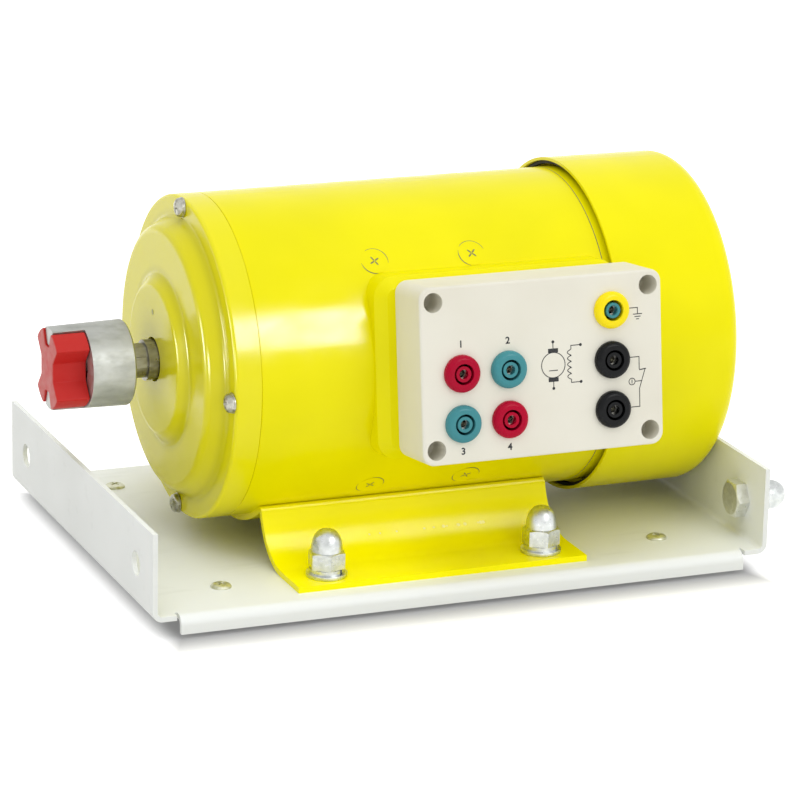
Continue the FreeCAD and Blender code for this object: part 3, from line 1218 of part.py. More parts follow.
# ----------------------------------------------------------------------------------------------
# Terminal box, drawn untilted in its own frame
# ----------------------------------------------------------------------------------------------
def panel_corners(spacing_x, spacing_z):
    """Four places round the box's centre."""
    return [(BOX_CENTRE_X + sx * spacing_x / 2, -BOX_DROP + sz * spacing_z / 2)
            for sx in (-1, 1) for sz in (-1, 1)]


def box_block(depth_from, depth_to, inset=0.0):
    """Rounded block with the box's outline, drawn in by an inset."""
    half_x = BOX_LENGTH / 2 - inset
    half_z = BOX_WIDTH / 2 - inset
    plain = panel_block(BOX_CENTRE_X - half_x, BOX_CENTRE_X + half_x, depth_from, depth_to,
                        -BOX_DROP - half_z, -BOX_DROP + half_z)
    return rounded_along(plain, BOX_CORNER - inset, Y_DIR)


def terminal_riser():
    """Welded frame that makes a flat seat for the box on the round tube."""
    left = BOX_CENTRE_X - BOX_LENGTH / 2 - RISER_LEFT
    right = COVER_FRONT_X - RISER_COVER_GAP
    low = -BOX_DROP - RISER_WIDTH / 2
    high = -BOX_DROP + RISER_WIDTH / 2
    solid = panel_block(left, right, TUBE_BORE / 2, RISER_FACE, low, high)
    solid = rounded_along(solid, RISER_CORNER, Y_DIR)
    end_edges = [edge for edge in solid.Edges
                 if edge.BoundBox.YMax < -RISER_FACE + CLOSE and edge.BoundBox.XMax < left + RISER_CORNER + CLOSE]
    solid = solid.makeChamfer(RISER_CHAMFER, end_edges)
    cavity = panel_block(left + RISER_LEFT + RISER_WALL, right - RISER_WALL, 0, RISER_FACE + EXTRA,
                         low + RISER_WALL, high - RISER_WALL)
    solid = solid.cut(rod(left - EXTRA, right + EXTRA, TUBE_RADIUS)).cut(cavity)
    threads = [panel_rod(x, z, RISER_FACE - riser_thread(), RISER_FACE + EXTRA, M4.shank)
               for x, z in panel_corners(RISER_SCREW_SPACING_X, RISER_SCREW_SPACING_Z)]
    return tilted(solid.cut(group(threads)))


def riser_thread():
    """Depth of a riser screw's thread."""
    return RISER_STANDOFF - EXTRA


def terminal_box():
    """Rear half of the box: floor, walls and four posts for the lid's screws."""
    outside = box_block(RISER_FACE, LID_BACK)
    tub = outside.cut(box_block(RISER_FACE + BOX_WALL, LID_BACK + EXTRA, BOX_WALL))
    posts = [panel_rod(x, z, RISER_FACE, LID_BACK, WELL_RADIUS + WELL_WALL)
             for x, z in panel_corners(WELL_SPACING_X, WELL_SPACING_Z)]
    tub = tub.multiFuse([post.common(outside) for post in posts]).removeSplitter()
    floor_from = RISER_FACE - EXTRA
    floor_to = RISER_FACE + BOX_WALL + EXTRA
    cuts = [panel_rod(x, z, LID_BACK - lid_thread(), LID_BACK + EXTRA, M4.shank)
            for x, z in panel_corners(WELL_SPACING_X, WELL_SPACING_Z)]
    cuts += [panel_rod(x, z, floor_from, floor_to, M4.shank + SPIGOT_CLEARANCE)
             for x, z in panel_corners(RISER_SCREW_SPACING_X, RISER_SCREW_SPACING_Z)]
    cuts.append(panel_rod(BOX_CENTRE_X, -BOX_DROP, floor_from, floor_to, LEAD_HOLE_RADIUS))
    return tilted(tub.cut(group(cuts)))


def lid_thread():
    """Depth of a lid screw's thread in its post."""
    return TUB_DEPTH - 2 * BOX_WALL


def socket_places():
    """(x, z) of each socket by node, in the box's own frame."""
    left, middle, right = [BOX_CENTRE_X + column for column in SOCKET_COLUMNS]
    rows = [SOCKET_LIFT - BOX_DROP + i * SOCKET_PITCH for i in (1, 0, -1)]
    return {
        "red_sockets": [(left, rows[1]), (middle, rows[2])],
        "teal_sockets": [(middle, rows[1]), (left, rows[2])],
        "earth_socket": [(right, rows[0])],
        "black_sockets": [(right, rows[1]), (right, rows[2])],
    }


def all_sockets():
    """Every socket's place."""
    return [place for places in socket_places().values() for place in places]


def terminal_lid():
    """Front half of the box: panel, walls, four screw wells and the socket holes."""
    outside = box_block(LID_BACK, PANEL)
    rim = [edge for edge in outside.Edges if edge.BoundBox.YMax < -PANEL + CLOSE]
    outside = outside.makeFillet(BOX_FRONT_ROUND, rim)
    lid = outside.cut(box_block(LID_BACK - EXTRA, PANEL - BOX_WALL, BOX_WALL))
    wells = panel_corners(WELL_SPACING_X, WELL_SPACING_Z)
    posts = [panel_rod(x, z, LID_BACK, PANEL - EXTRA, WELL_RADIUS + WELL_WALL).common(outside)
             for x, z in wells]
    lid = lid.multiFuse(posts).removeSplitter()
    cuts = [panel_rod(x, z, LID_BACK + WELL_FLOOR, PANEL + EXTRA, WELL_RADIUS) for x, z in wells]
    cuts += [panel_rod(x, z, LID_BACK - EXTRA, PANEL, M4.shank + SPIGOT_CLEARANCE) for x, z in wells]
    cuts += [panel_rod(x, z, LID_BACK, PANEL + EXTRA, SOCKET_BODY_RADIUS + SOCKET_HOLE_GAP)
             for x, z in all_sockets()]
    return tilted(lid.cut(group(cuts)))


def panel_screws(screw, places, depth):
    """Screws set square to the panel, heads at a depth."""
    return tilted(group([set_at(screw, V(x, -depth, AXIS_HEIGHT + z), V(0, -1, 0)) for x, z in places]))


def lid_screws():
    """Screws at the bottom of the lid's wells."""
    screw = pan_screw(M4, WELL_FLOOR + lid_thread())
    return panel_screws(screw, panel_corners(WELL_SPACING_X, WELL_SPACING_Z), LID_BACK + WELL_FLOOR)


def riser_screws():
    """Screws from inside the box into the riser."""
    screw = pan_screw(M4, BOX_WALL + riser_thread())
    places = panel_corners(RISER_SCREW_SPACING_X, RISER_SCREW_SPACING_Z)
    return panel_screws(screw, places, RISER_FACE + BOX_WALL)


def contact_span():
    """Depths of the contact's back and mouth."""
    mouth = PANEL - CONTACT_SETBACK
    return (mouth - CONTACT_LENGTH, mouth)


def socket_body(x, z):
    """Insulating body: collar, shank, and a sleeve inside a ring-shaped space for a plug's shroud."""
    shank_back = PANEL - SOCKET_BODY_LENGTH
    face = PANEL + COLLAR_HEIGHT
    back, mouth = contact_span()
    collar = panel_rod(x, z, PANEL, face, COLLAR_RADIUS)
    top = [edge for edge in collar.Edges if edge.BoundBox.YMax < -face + CLOSE]
    collar = collar.makeFillet(COLLAR_ROUND, top)
    body = collar.fuse(panel_rod(x, z, shank_back, PANEL, SOCKET_BODY_RADIUS))
    groove = panel_rod(x, z, shank_back + SOCKET_FLOOR, face + EXTRA, GROOVE_RADIUS)
    sleeve = panel_rod(x, z, shank_back, face - SLEEVE_RECESS, SLEEVE_RADIUS)
    body = body.cut(groove).fuse(sleeve).removeSplitter()
    cuts = [panel_rod(x, z, back, mouth, CONTACT_RADIUS),
            panel_rod(x, z, mouth - EXTRA, face, SLEEVE_MOUTH_RADIUS),
            panel_rod(x, z, shank_back - EXTRA, back + EXTRA, TAIL_RADIUS)]
    return body.cut(group(cuts[:1])).cut(group(cuts[1:]))


def sockets(node):
    """Socket bodies of one colour."""
    return tilted(group([socket_body(x, z) for x, z in socket_places()[node]]))


def socket_contacts():
    """Metal contact tubes with their tails."""
    back, mouth = contact_span()
    floor = back + SOCKET_FLOOR
    tail_end = PANEL - SOCKET_BODY_LENGTH - TAIL_LENGTH
    pieces = []
    for x, z in all_sockets():
        tube = panel_rod(x, z, back, mouth, CONTACT_RADIUS)
        tube = tube.cut(panel_rod(x, z, floor, mouth + EXTRA, SOCKET_BORE_RADIUS))
        pieces.append(tube.fuse(panel_rod(x, z, tail_end, back, TAIL_RADIUS)).removeSplitter())
    return tilted(group(pieces))


def socket_nuts():
    """Nuts that hold the sockets behind the panel."""
    depth = PANEL - BOX_WALL
    hole = Part.makeCylinder(SOCKET_BODY_RADIUS, NUT_HEIGHT + 2 * EXTRA, V(0, 0, -EXTRA))
    nut = hex_prism(NUT_FLATS, NUT_HEIGHT).cut(hole)
    return tilted(group([set_at(nut, V(x, -depth, AXIS_HEIGHT + z), Y_DIR) for x, z in all_sockets()]))


# ----------------------------------------------------------------------------------------------
# Nodes
# ----------------------------------------------------------------------------------------------
def all_nodes():
    """Every sub-part by node name, in the drawing frame."""
    nodes = {build.__name__: build() for build in (
        base_plate, rubber_feet, foot_screws, link_bolts, link_washers, link_nuts,
        foot_bracket, bracket_bolts, bracket_washers, lock_washers, domed_nuts, saddle_screws,
        stator_tube, front_end_shield, rear_end_shield, shield_screws, shield_washers,
        rear_cover, cover_pillars, cover_screws,
        pole_cores, pole_screws, field_coils, thermal_switch,
        brush_ring, brush_holders, brush_springs, bearing_balls, preload_washer,
        shaft, shaft_key, armature_core, armature_winding, commutator_sleeve, commutator_bars,
        cooling_fan, fan_clip, coupling_hub, hub_set_screw, coupling_spider,
        terminal_riser, riser_screws, terminal_box, terminal_lid, lid_screws,
        socket_contacts, socket_nuts,
    )}
    for node, angle in BRUSH_ANGLES.items():
        nodes[node] = brush(angle)
    for node in socket_places():
        nodes[node] = sockets(node)
    nodes["front_bearing_outer"] = bearing_outer(FRONT_BEARING, FRONT_BEARING_X)
    nodes["front_bearing_inner"] = bearing_inner(FRONT_BEARING, FRONT_BEARING_X)
    nodes["rear_bearing_outer"] = bearing_outer(REAR_BEARING, REAR_BEARING_X)
    nodes["rear_bearing_inner"] = bearing_inner(REAR_BEARING, REAR_BEARING_X)
    return nodes


def origin_move(nodes):
    """Step that brings the middle of the assembly's overall box over the origin, standing on Z = 0."""
    extent = group(list(nodes.values())).optimalBoundingBox(False, False)
    return V(-(extent.XMin + extent.XMax) / 2, -(extent.YMin + extent.YMax) / 2, -extent.ZMin)


def main():
    """Build every node, move the assembly over its origin and write one STEP file per node."""
    nodes = all_nodes()
    step = origin_move(nodes)
    os.makedirs("parts", exist_ok=True)
    for name, shape in nodes.items():
        shape.translate(step)
        shape.exportStep("parts/" + name + ".step")


main()
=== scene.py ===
"""Looks of the demonstration motor: its finishes, its visible pieces and the studio round it.

Lengths in the classes are millimetres in the frame that the solids are drawn in: X = 0 is the middle of the
base, Y = 0 the shaft's plane and Z = 0 the standing plane. Datum turns them to metres in the model's frame.
The lamps' places and sizes are metres, as a studio is larger than the motor.
"""
import json
import logging
import math
import random
from dataclasses import dataclass
from enum import Enum
from functools import cache
from typing import Any, Callable, Sequence

import bmesh
import bpy
from mathutils import Matrix, Quaternion, Vector

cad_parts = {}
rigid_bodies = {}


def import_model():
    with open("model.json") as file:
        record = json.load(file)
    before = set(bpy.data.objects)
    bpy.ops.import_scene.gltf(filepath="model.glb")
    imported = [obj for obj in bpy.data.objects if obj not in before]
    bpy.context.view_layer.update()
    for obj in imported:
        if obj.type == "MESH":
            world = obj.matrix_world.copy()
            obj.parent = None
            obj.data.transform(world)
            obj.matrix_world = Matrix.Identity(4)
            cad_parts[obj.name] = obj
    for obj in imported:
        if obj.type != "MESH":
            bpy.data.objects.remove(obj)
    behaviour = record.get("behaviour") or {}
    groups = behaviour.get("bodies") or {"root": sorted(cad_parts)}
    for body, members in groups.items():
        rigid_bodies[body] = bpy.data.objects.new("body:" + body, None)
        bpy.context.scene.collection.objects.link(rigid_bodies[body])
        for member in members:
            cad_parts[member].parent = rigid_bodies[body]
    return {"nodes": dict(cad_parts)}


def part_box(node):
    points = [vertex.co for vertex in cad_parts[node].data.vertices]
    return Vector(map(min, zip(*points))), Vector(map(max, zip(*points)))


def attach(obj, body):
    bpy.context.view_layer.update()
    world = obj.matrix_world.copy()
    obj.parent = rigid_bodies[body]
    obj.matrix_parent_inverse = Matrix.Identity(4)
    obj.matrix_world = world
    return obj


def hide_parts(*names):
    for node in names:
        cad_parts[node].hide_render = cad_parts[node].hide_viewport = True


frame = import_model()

MM = 0.001
# Points nearer than this many millimetres are one.
WELD = 0.001
LOG = logging.getLogger("motor")

Mesh = bpy.types.Mesh
Node = bpy.types.Node
Piece = bpy.types.Object
Shape = bmesh.types.BMesh
Socket = bpy.types.NodeSocket
Tree = bpy.types.NodeTree

Pair = tuple[float, float]
Triple = tuple[float, float, float]
Profile = list[Pair]

# Blender's names of the kinds of node that are used most.
MATH = "ShaderNodeMath"
VECTOR_MATH = "ShaderNodeVectorMath"
MAP_RANGE = "ShaderNodeMapRange"
SPLIT = "ShaderNodeSeparateXYZ"
COMBINE = "ShaderNodeCombineXYZ"
MOVE = "GeometryNodeTransform"


# ------------------------------------------------------------------------------------------------
# Places
# ------------------------------------------------------------------------------------------------
@dataclass(frozen=True)
class Datum:
    """Where the drawing's frame lies in the model's frame, and the main levels of the motor."""

    tube_front: float = -94.0
    tube_rear: float = 88.0
    tube_radius: float = 79.5
    axis_height: float = 102.0
    plate_top: float = 11.0
    plate_bottom: float = 8.5

    @cache
    def step(self) -> Vector:
        """Move from the drawing's frame to the model's frame, in millimetres."""
        low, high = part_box("stator_tube")
        return Vector((low.x / MM - self.tube_front, (low.y + high.y) / 2 / MM, 0.0))

    def at(self, x: float, y: float, z: float) -> Vector:
        """Point of the model's frame, in metres."""
        return (Vector((x, y, z)) + self.step()) * MM

    def polar(self, x: float, radius: float, angle: float) -> Vector:
        """Point round the shaft.

        Args:
            x: Place along the shaft.
            radius: Distance from the shaft's axis.
            angle: Degrees from the -Y side, 90 being the top.

        Returns:
            The point in the model's frame, in metres.
        """
        turn = math.radians(angle)
        return self.at(x, -radius * math.cos(turn), self.axis_height + radius * math.sin(turn))


DATUM = Datum()


@dataclass(frozen=True)
class PanelFrame:
    """The terminal box's own frame: x along the shaft, z up the panel, depth from the shaft's axis."""

    tilt: float = 7.5
    centre_x: float = 34.3
    centre_z: float = -1.2
    face_depth: float = 116.0

    def normal(self) -> Vector:
        """Direction out of the panel."""
        turn = math.radians(self.tilt)
        return Vector((0.0, -math.cos(turn), math.sin(turn)))

    def up(self) -> Vector:
        """Direction up the panel."""
        turn = math.radians(self.tilt)
        return Vector((0.0, math.sin(turn), math.cos(turn)))

    def point(self, x: float, z: float, depth: float) -> Vector:
        """Point of the box in the model's frame, in metres."""
        axis = DATUM.at(x, 0.0, DATUM.axis_height)
        return axis + (self.up() * z + self.normal() * depth) * MM

    def matrix(self, x: float, z: float, depth: float) -> Matrix:
        """Local frame on the box with X to the right, Y up the panel and Z out of it, in metres."""
        columns = Matrix((Vector((1.0, 0.0, 0.0)), self.up(), self.normal())).transposed().to_4x4()
        return Matrix.Translation(self.point(x, z, depth)) @ columns


PANEL = PanelFrame()


# ------------------------------------------------------------------------------------------------
# Nodes and colours
# ------------------------------------------------------------------------------------------------
def linear(colour: str) -> tuple[float, float, float, float]:
    """Linear colour of an sRGB hex value such as "#F4EA00"."""
    parts = [int(colour[i:i + 2], 16) / 255.0 for i in (1, 3, 5)]
    red, green, blue = [c / 12.92 if c <= 0.04045 else ((c + 0.055) / 1.055) ** 2.4 for c in parts]
    return (red, green, blue, 1.0)


def add_node(tree: Tree, kind: str, settings: dict[str, Any] | None = None,
             values: dict[Any, Any] | None = None, links: dict[Any, Any] | None = None) -> Node:
    """Add one node with its settings, its sockets' values and its incoming links.

    Args:
        tree: Tree that gets the node.
        kind: Blender's name of the node's type.
        settings: Properties of the node by name.
        values: Constants by input name or number.
        links: Output sockets to join, by input name or number.

    Returns:
        The new node.
    """
    node = tree.nodes.new(kind)
    for name, value in (settings or {}).items():
        setattr(node, name, value)
    for name, value in (values or {}).items():
        node.inputs[name].default_value = value
    for name, output in (links or {}).items():
        tree.links.new(output, node.inputs[name])
    return node


# ------------------------------------------------------------------------------------------------
# Finishes
# ------------------------------------------------------------------------------------------------
def tint(tree: Tree, factor: Socket, stops: Sequence[tuple[float, str]], target: Socket) -> None:
    """Drive a colour socket from a factor through hex colour stops."""
    ramp = add_node(tree, "ShaderNodeValToRGB", links={"Fac": factor})
    elements = ramp.color_ramp.elements
    while len(elements) < len(stops):
        elements.new(0.5)
    for element, (position, colour) in zip(elements, stops):
        element.position = position
        element.color = linear(colour)
    tree.links.new(ramp.outputs["Color"], target)


@dataclass(frozen=True)
class Surface:
    """A material while its finish is drawn, in Object coordinates and with sizes in millimetres."""

    tree: Tree
    place: Node
    shader: Node
    # Between these two nearly all values of a noise lie.
    noise_span: Pair = (0.3, 0.7)

    def grain(self, size: float, detail: float = 3.0, stretch: Triple = (1.0, 1.0, 1.0),
              shift: float = 0.0) -> Socket:
        """Noise whose blotches are about size millimetres across."""
        mapping = add_node(self.tree, "ShaderNodeMapping",
                           values={"Scale": stretch, "Location": (shift, shift, shift)},
                           links={"Vector": self.place.outputs["Object"]})
        noise = add_node(self.tree, "ShaderNodeTexNoise",
                         values={"Scale": 1.0 / (size * MM), "Detail": detail},
                         links={"Vector": mapping.outputs[0]})
        return noise.outputs["Fac"]

    def stripes(self, along: Socket, pitch: float) -> Socket:
        """Height from 0 to 1 that rises and falls once in each pitch of a length in metres."""
        turns = add_node(self.tree, MATH, {"operation": "MULTIPLY"}, {1: 2.0 * math.pi / (pitch * MM)},
                         {0: along})
        lines = add_node(self.tree, MATH, {"operation": "SINE"}, links={0: turns.outputs[0]})
        level = add_node(self.tree, MATH, {"operation": "MULTIPLY_ADD"}, {1: 0.5, 2: 0.5},
                         {0: lines.outputs[0]})
        return level.outputs[0]

    def colours(self, factor: Socket, *stops: tuple[float, str]) -> None:
        """Drive the base colour from a factor through hex colour stops."""
        tint(self.tree, factor, stops, self.shader.inputs["Base Color"])

    def gloss(self, noise: Socket, roughness: float, swing: Pair) -> None:
        """Let a noise take the roughness from swing[0] below its value to swing[1] above it."""
        low, high = self.noise_span
        span = add_node(self.tree, MAP_RANGE,
                        values={"From Min": low, "From Max": high, "To Min": roughness - swing[0],
                                "To Max": roughness + swing[1]},
                        links={"Value": noise})
        self.tree.links.new(span.outputs[0], self.shader.inputs["Roughness"])

    def relief(self, *bumps: tuple[Socket, float]) -> None:
        """Join bumps into the shader's normal: each a height from 0 to 1 and its depth in millimetres."""
        normal = None
        for height, depth in bumps:
            bump = add_node(self.tree, "ShaderNodeBump", values={"Strength": 1.0, "Distance": depth * MM},
                            links={"Height": height})
            if normal is not None:
                self.tree.links.new(normal, bump.inputs["Normal"])
            normal = bump.outputs["Normal"]
        self.tree.links.new(normal, self.shader.inputs["Normal"])

    def round_shaft(self) -> tuple[Socket, Socket]:
        """Distance along the shaft from the base's middle, and distance from its axis, in metres."""
        moved = add_node(self.tree, VECTOR_MATH, {"operation": "SUBTRACT"},
                         {1: DATUM.at(0.0, 0.0, DATUM.axis_height)}, {0: self.place.outputs["Object"]})
        parts = add_node(self.tree, SPLIT, links={0: moved.outputs[0]})
        flat = add_node(self.tree, COMBINE, links={"Y": parts.outputs["Y"], "Z": parts.outputs["Z"]})
        radius = add_node(self.tree, VECTOR_MATH, {"operation": "LENGTH"}, links={0: flat.outputs[0]})
        return parts.outputs["X"], radius.outputs["Value"]


@dataclass(frozen=True)
class Finish:
    """A real surface. A subclass adds the nodes that its making leaves on it."""

    name: str
    colour: str
    roughness: float = 0.4
    metallic: float = 0.0
    ior: float = 1.5

    @cache
    def build(self) -> bpy.types.Material:
        """Make the material once and return it."""
        material = bpy.data.materials.new(self.name)
        material.use_nodes = True
        material.diffuse_color = linear(self.colour)
        tree = material.node_tree
        tree.nodes.clear()
        values = {"Base Color": linear(self.colour), "Roughness": self.roughness, "Metallic": self.metallic}
        if not self.metallic:
            values["IOR"] = self.ior
        shader = add_node(tree, "ShaderNodeBsdfPrincipled", values=values)
        self.detail(Surface(tree, add_node(tree, "ShaderNodeTexCoord"), shader))
        add_node(tree, "ShaderNodeOutputMaterial", links={"Surface": shader.outputs[0]})
        return material

    def detail(self, surface: Surface) -> None:
        """Add what the making leaves: nothing on a plain finish."""


@dataclass(frozen=True)
class GlossEnamel(Finish):
    """Sprayed gloss enamel: wet-looking film with a faint orange peel and a slow waviness under it."""

    shade: str = "#ECE300"
    build_up: float = 60.0
    sheen: float = 14.0
    swing: Pair = (0.05, 0.07)
    wave: float = 26.0
    wave_depth: float = 0.03
    peel: float = 2.2
    peel_depth: float = 0.003

    def detail(self, surface: Surface) -> None:
        """Orange peel about 2 mm across, slow waves, a little film build-up in the colour."""
        surface.colours(surface.grain(self.build_up, 2.0), (0.35, self.colour), (0.7, self.shade))
        surface.gloss(surface.grain(self.sheen), self.roughness, self.swing)
        surface.relief((surface.grain(self.wave, 1.0), self.wave_depth),
                       (surface.grain(self.peel, 1.0), self.peel_depth))


@dataclass(frozen=True)
class StepShadedEnamel(GlossEnamel):
    """The same enamel on the stepped casting, with painted shade: darker on the faces inside the rim, darkest
    in the hollows.
    """

    # Painted shade: the darker yellow near the inner corners, and the darker yellow of the faces inside the
    # rim.
    hollow: str = "#D4CC00"
    face_shade: str = "#E2D900"
    rim: Pair = (77.6, 79.2)
    corners: tuple[Pair, ...] = ((-107.5, 69.0), (-117.2, 42.0))
    reach: Pair = (1.0, 5.0)

    def detail(self, surface: Surface) -> None:
        """Enamel as on the drum, with painted shade: darker on the faces inside the rim and darkest near each
        inner corner (x, radius).
        """
        super().detail(surface)
        tree = surface.tree
        along, radius = surface.round_shaft()
        inside = add_node(tree, MAP_RANGE, {"interpolation_type": "SMOOTHSTEP"},
                          {"From Min": self.rim[0] * MM, "From Max": self.rim[1] * MM,
                           "To Min": 1.0, "To Max": 0.0}, {"Value": radius})
        spot = add_node(tree, COMBINE, links={"X": along, "Y": radius})
        depth = None
        for x, ring in self.corners:
            away = add_node(tree, VECTOR_MATH, {"operation": "DISTANCE"}, {1: (x * MM, ring * MM, 0.0)},
                            {0: spot.outputs[0]})
            near = add_node(tree, MAP_RANGE, {"interpolation_type": "SMOOTHSTEP"},
                            {"From Min": self.reach[0] * MM, "From Max": self.reach[1] * MM,
                             "To Min": 1.0, "To Max": 0.0}, {"Value": away.outputs["Value"]})
            both = add_node(tree, MATH, {"operation": "MAXIMUM"}, {0: 0.0}, {1: near.outputs[0]})
            if depth is not None:
                tree.links.new(depth, both.inputs[0])
            depth = both.outputs[0]
        # Mix the painted shade into the enamel's colour.
        film = surface.shader.inputs["Base Color"].links[0].from_socket
        for colour, share in ((self.face_shade, inside.outputs[0]), (self.hollow, depth)):
            film = add_node(tree, "ShaderNodeMix", {"data_type": "RGBA"}, {7: linear(colour)},
                            {0: share, 6: film}).outputs[2]
        tree.links.new(film, surface.shader.inputs["Base Color"])


@dataclass(frozen=True)
class ThinFilm(Finish):
    """Ink, or dark lines of painted shade, so thin that what is under it shows through in specks."""

    shade: str = "#2A2D31"
    speck: float = 0.7
    dulled: float = 1.2
    swing: Pair = (0.08, 0.1)

    def detail(self, surface: Surface) -> None:
        """Specks about 0.7 mm across, and changes of gloss a little wider."""
        surface.colours(surface.grain(self.speck), (0.45, self.colour), (0.75, self.shade))
        surface.gloss(surface.grain(self.dulled, 2.0), self.roughness, self.swing)


@dataclass(frozen=True)
class PowderCoat(Finish):
    """Baked powder on steel sheet: even colour, fine leathery texture, dull gloss and light rubs."""

    rubbed: str = "#DFE1DA"
    rub: float = 9.0
    rub_stretch: Triple = (0.25, 1.0, 1.0)
    sheen: float = 22.0
    swing: Pair = (0.07, 0.1)
    texture: float = 0.9
    depth: float = 0.008

    def detail(self, surface: Surface) -> None:
        """Leathery texture under 1 mm, drawn as coarse as it shows, and long faint rub marks."""
        rubs = surface.grain(self.rub, 6.0, self.rub_stretch, 3.0)
        surface.colours(rubs, (0.6, self.colour), (0.85, self.rubbed))
        surface.gloss(surface.grain(self.sheen, 4.0), self.roughness, self.swing)
        surface.relief((surface.grain(self.texture, 2.0), self.depth))


@dataclass(frozen=True)
class PlatedSteel(Finish):
    """Barrel-plated steel: bright metal with cloudy patches and tiny knocks from the barrel."""

    cloud: str = "#A9ADB0"
    patch: float = 3.0
    mist: float = 2.0
    swing: Pair = (0.08, 0.14)
    knock: float = 0.9
    depth: float = 0.005

    def detail(self, surface: Surface) -> None:
        """Clouds about 3 mm across and knocks just under 1 mm across."""
        surface.colours(surface.grain(self.patch, 4.0), (0.35, self.colour), (0.68, self.cloud))
        surface.gloss(surface.grain(self.mist, 5.0, shift=1.0), self.roughness, self.swing)
        surface.relief((surface.grain(self.knock, 2.0), self.depth))


@dataclass(frozen=True)
class TurnedMetal(Finish):
    """Metal faced and turned on a lathe: tool lines round the shaft's axis, crossed by small stains."""

    stain: str = "#8F918C"
    blotch: float = 6.0
    blotch_stretch: Triple = (0.4, 1.0, 1.0)
    wear: float = 3.5
    swing: Pair = (0.06, 0.12)
    pitch: float = 0.5
    depth: float = 0.006
    wander: float = 5.0
    wander_share: float = 0.8
    pore: float = 1.4
    pore_depth: float = 0.01

    def detail(self, surface: Surface) -> None:
        """Lines at the tool's feed, drawn at half a millimetre so that they show, on walls and faces."""
        along, radius = surface.round_shaft()
        feed = add_node(surface.tree, MATH, {"operation": "ADD"}, links={0: along, 1: radius})
        wobble = add_node(surface.tree, MATH, {"operation": "MULTIPLY_ADD"},
                          {1: self.pitch * MM * self.wander_share},
                          {0: surface.grain(self.wander), 2: feed.outputs[0]})
        lines = surface.stripes(wobble.outputs[0], self.pitch)
        surface.colours(surface.grain(self.blotch, 5.0, self.blotch_stretch), (0.45, self.colour),
                        (0.75, self.stain))
        surface.gloss(surface.grain(self.wear, 4.0), self.roughness, self.swing)
        surface.relief((lines, self.depth), (surface.grain(self.pore), self.pore_depth))


@dataclass(frozen=True)
class MouldedPlastic(Finish):
    """Injection-moulded plastic: even colour with the tool's fine spark texture."""

    shade: str = "#DDD9C9"
    mottle: float = 18.0
    flow: float = 7.0
    swing: Pair = (0.04, 0.07)
    texture: float = 0.7
    depth: float = 0.006

    def detail(self, surface: Surface) -> None:
        """Spark texture drawn at its coarse limit, and slow flow marks in colour and gloss."""
        surface.colours(surface.grain(self.mottle), (0.4, self.colour), (0.8, self.shade))
        surface.gloss(surface.grain(self.flow, shift=2.0), self.roughness, self.swing)
        surface.relief((surface.grain(self.texture, 2.0), self.depth))


@dataclass(frozen=True)
class CastElastomer(Finish):
    """Cast polyurethane: satin skin, with a painted highlight, lighter and pinker, on the outer face and its
    edges.
    """

    # Painted highlight: the lighter colour of the outer face.
    face_highlight: str = "#DE8580"
    highlight_share: float = 0.8
    highlight_depth: Pair = (0.15, 0.5)
    cloud: float = 4.0
    face_x: float = -175.6
    sheen: float = 3.0
    swing: Pair = (0.05, 0.1)
    skin: float = 0.9
    depth: float = 0.01

    def detail(self, surface: Surface) -> None:
        """Painted highlight within half a millimetre of the outer face, broken by noise, and a soft skin
        texture.
        """
        start = DATUM.at(self.face_x, 0.0, 0.0).x
        parts = add_node(surface.tree, SPLIT, links={0: surface.place.outputs["Object"]})
        near = add_node(surface.tree, MAP_RANGE,
                        values={"From Min": start + self.highlight_depth[0] * MM,
                                "From Max": start + self.highlight_depth[1] * MM,
                                "To Min": self.highlight_share, "To Max": 0.0},
                        links={"Value": parts.outputs["X"]})
        broken = add_node(surface.tree, MATH, {"operation": "MULTIPLY"},
                          links={0: near.outputs[0], 1: surface.grain(self.cloud, 4.0)})
        surface.colours(broken.outputs[0], (0.0, self.colour), (0.55, self.face_highlight))
        surface.gloss(surface.grain(self.sheen), self.roughness, self.swing)
        surface.relief((surface.grain(self.skin, 2.0), self.depth))


@dataclass(frozen=True)
class Laminated(Finish):
    """Stack of punched steel sheets, seen as fine lines square to the shaft."""

    sheet: float = 0.9
    gap: str = "#2A2C30"
    depth: float = 0.03

    def detail(self, surface: Surface) -> None:
        """Half-millimetre sheets, drawn nearly twice as thick so that they show."""
        parts = add_node(surface.tree, SPLIT, links={0: surface.place.outputs["Object"]})
        lines = surface.stripes(parts.outputs["X"], self.sheet)
        surface.colours(lines, (0.0, self.gap), (0.35, self.colour))
        surface.relief((lines, self.depth))


@dataclass(frozen=True)
class TapedCoil(Finish):
    """Cotton tape wound over a coil and soaked in amber varnish: overlapping bands and a fine weave."""

    band: str = "#A8864A"
    width: float = 9.0
    lean: float = 0.35
    # The texture's scale at which one band is one unit wide.
    unit_scale: float = 0.314
    ragged: float = 0.6
    band_depth: float = 0.3
    weave: float = 0.8
    weave_depth: float = 0.08

    def detail(self, surface: Surface) -> None:
        """Bands 9 mm wide and a weave about 0.8 mm."""
        mapping = add_node(surface.tree, "ShaderNodeMapping", values={"Rotation": (0.0, 0.0, self.lean)},
                           links={"Vector": surface.place.outputs["Object"]})
        bands = add_node(surface.tree, "ShaderNodeTexWave", {"wave_profile": "SAW"},
                         {"Scale": self.unit_scale / (self.width * MM), "Distortion": self.ragged},
                         {"Vector": mapping.outputs[0]}).outputs["Fac"]
        surface.colours(bands, (0.1, self.band), (0.5, self.colour))
        surface.relief((bands, self.band_depth), (surface.grain(self.weave, 1.0), self.weave_depth))


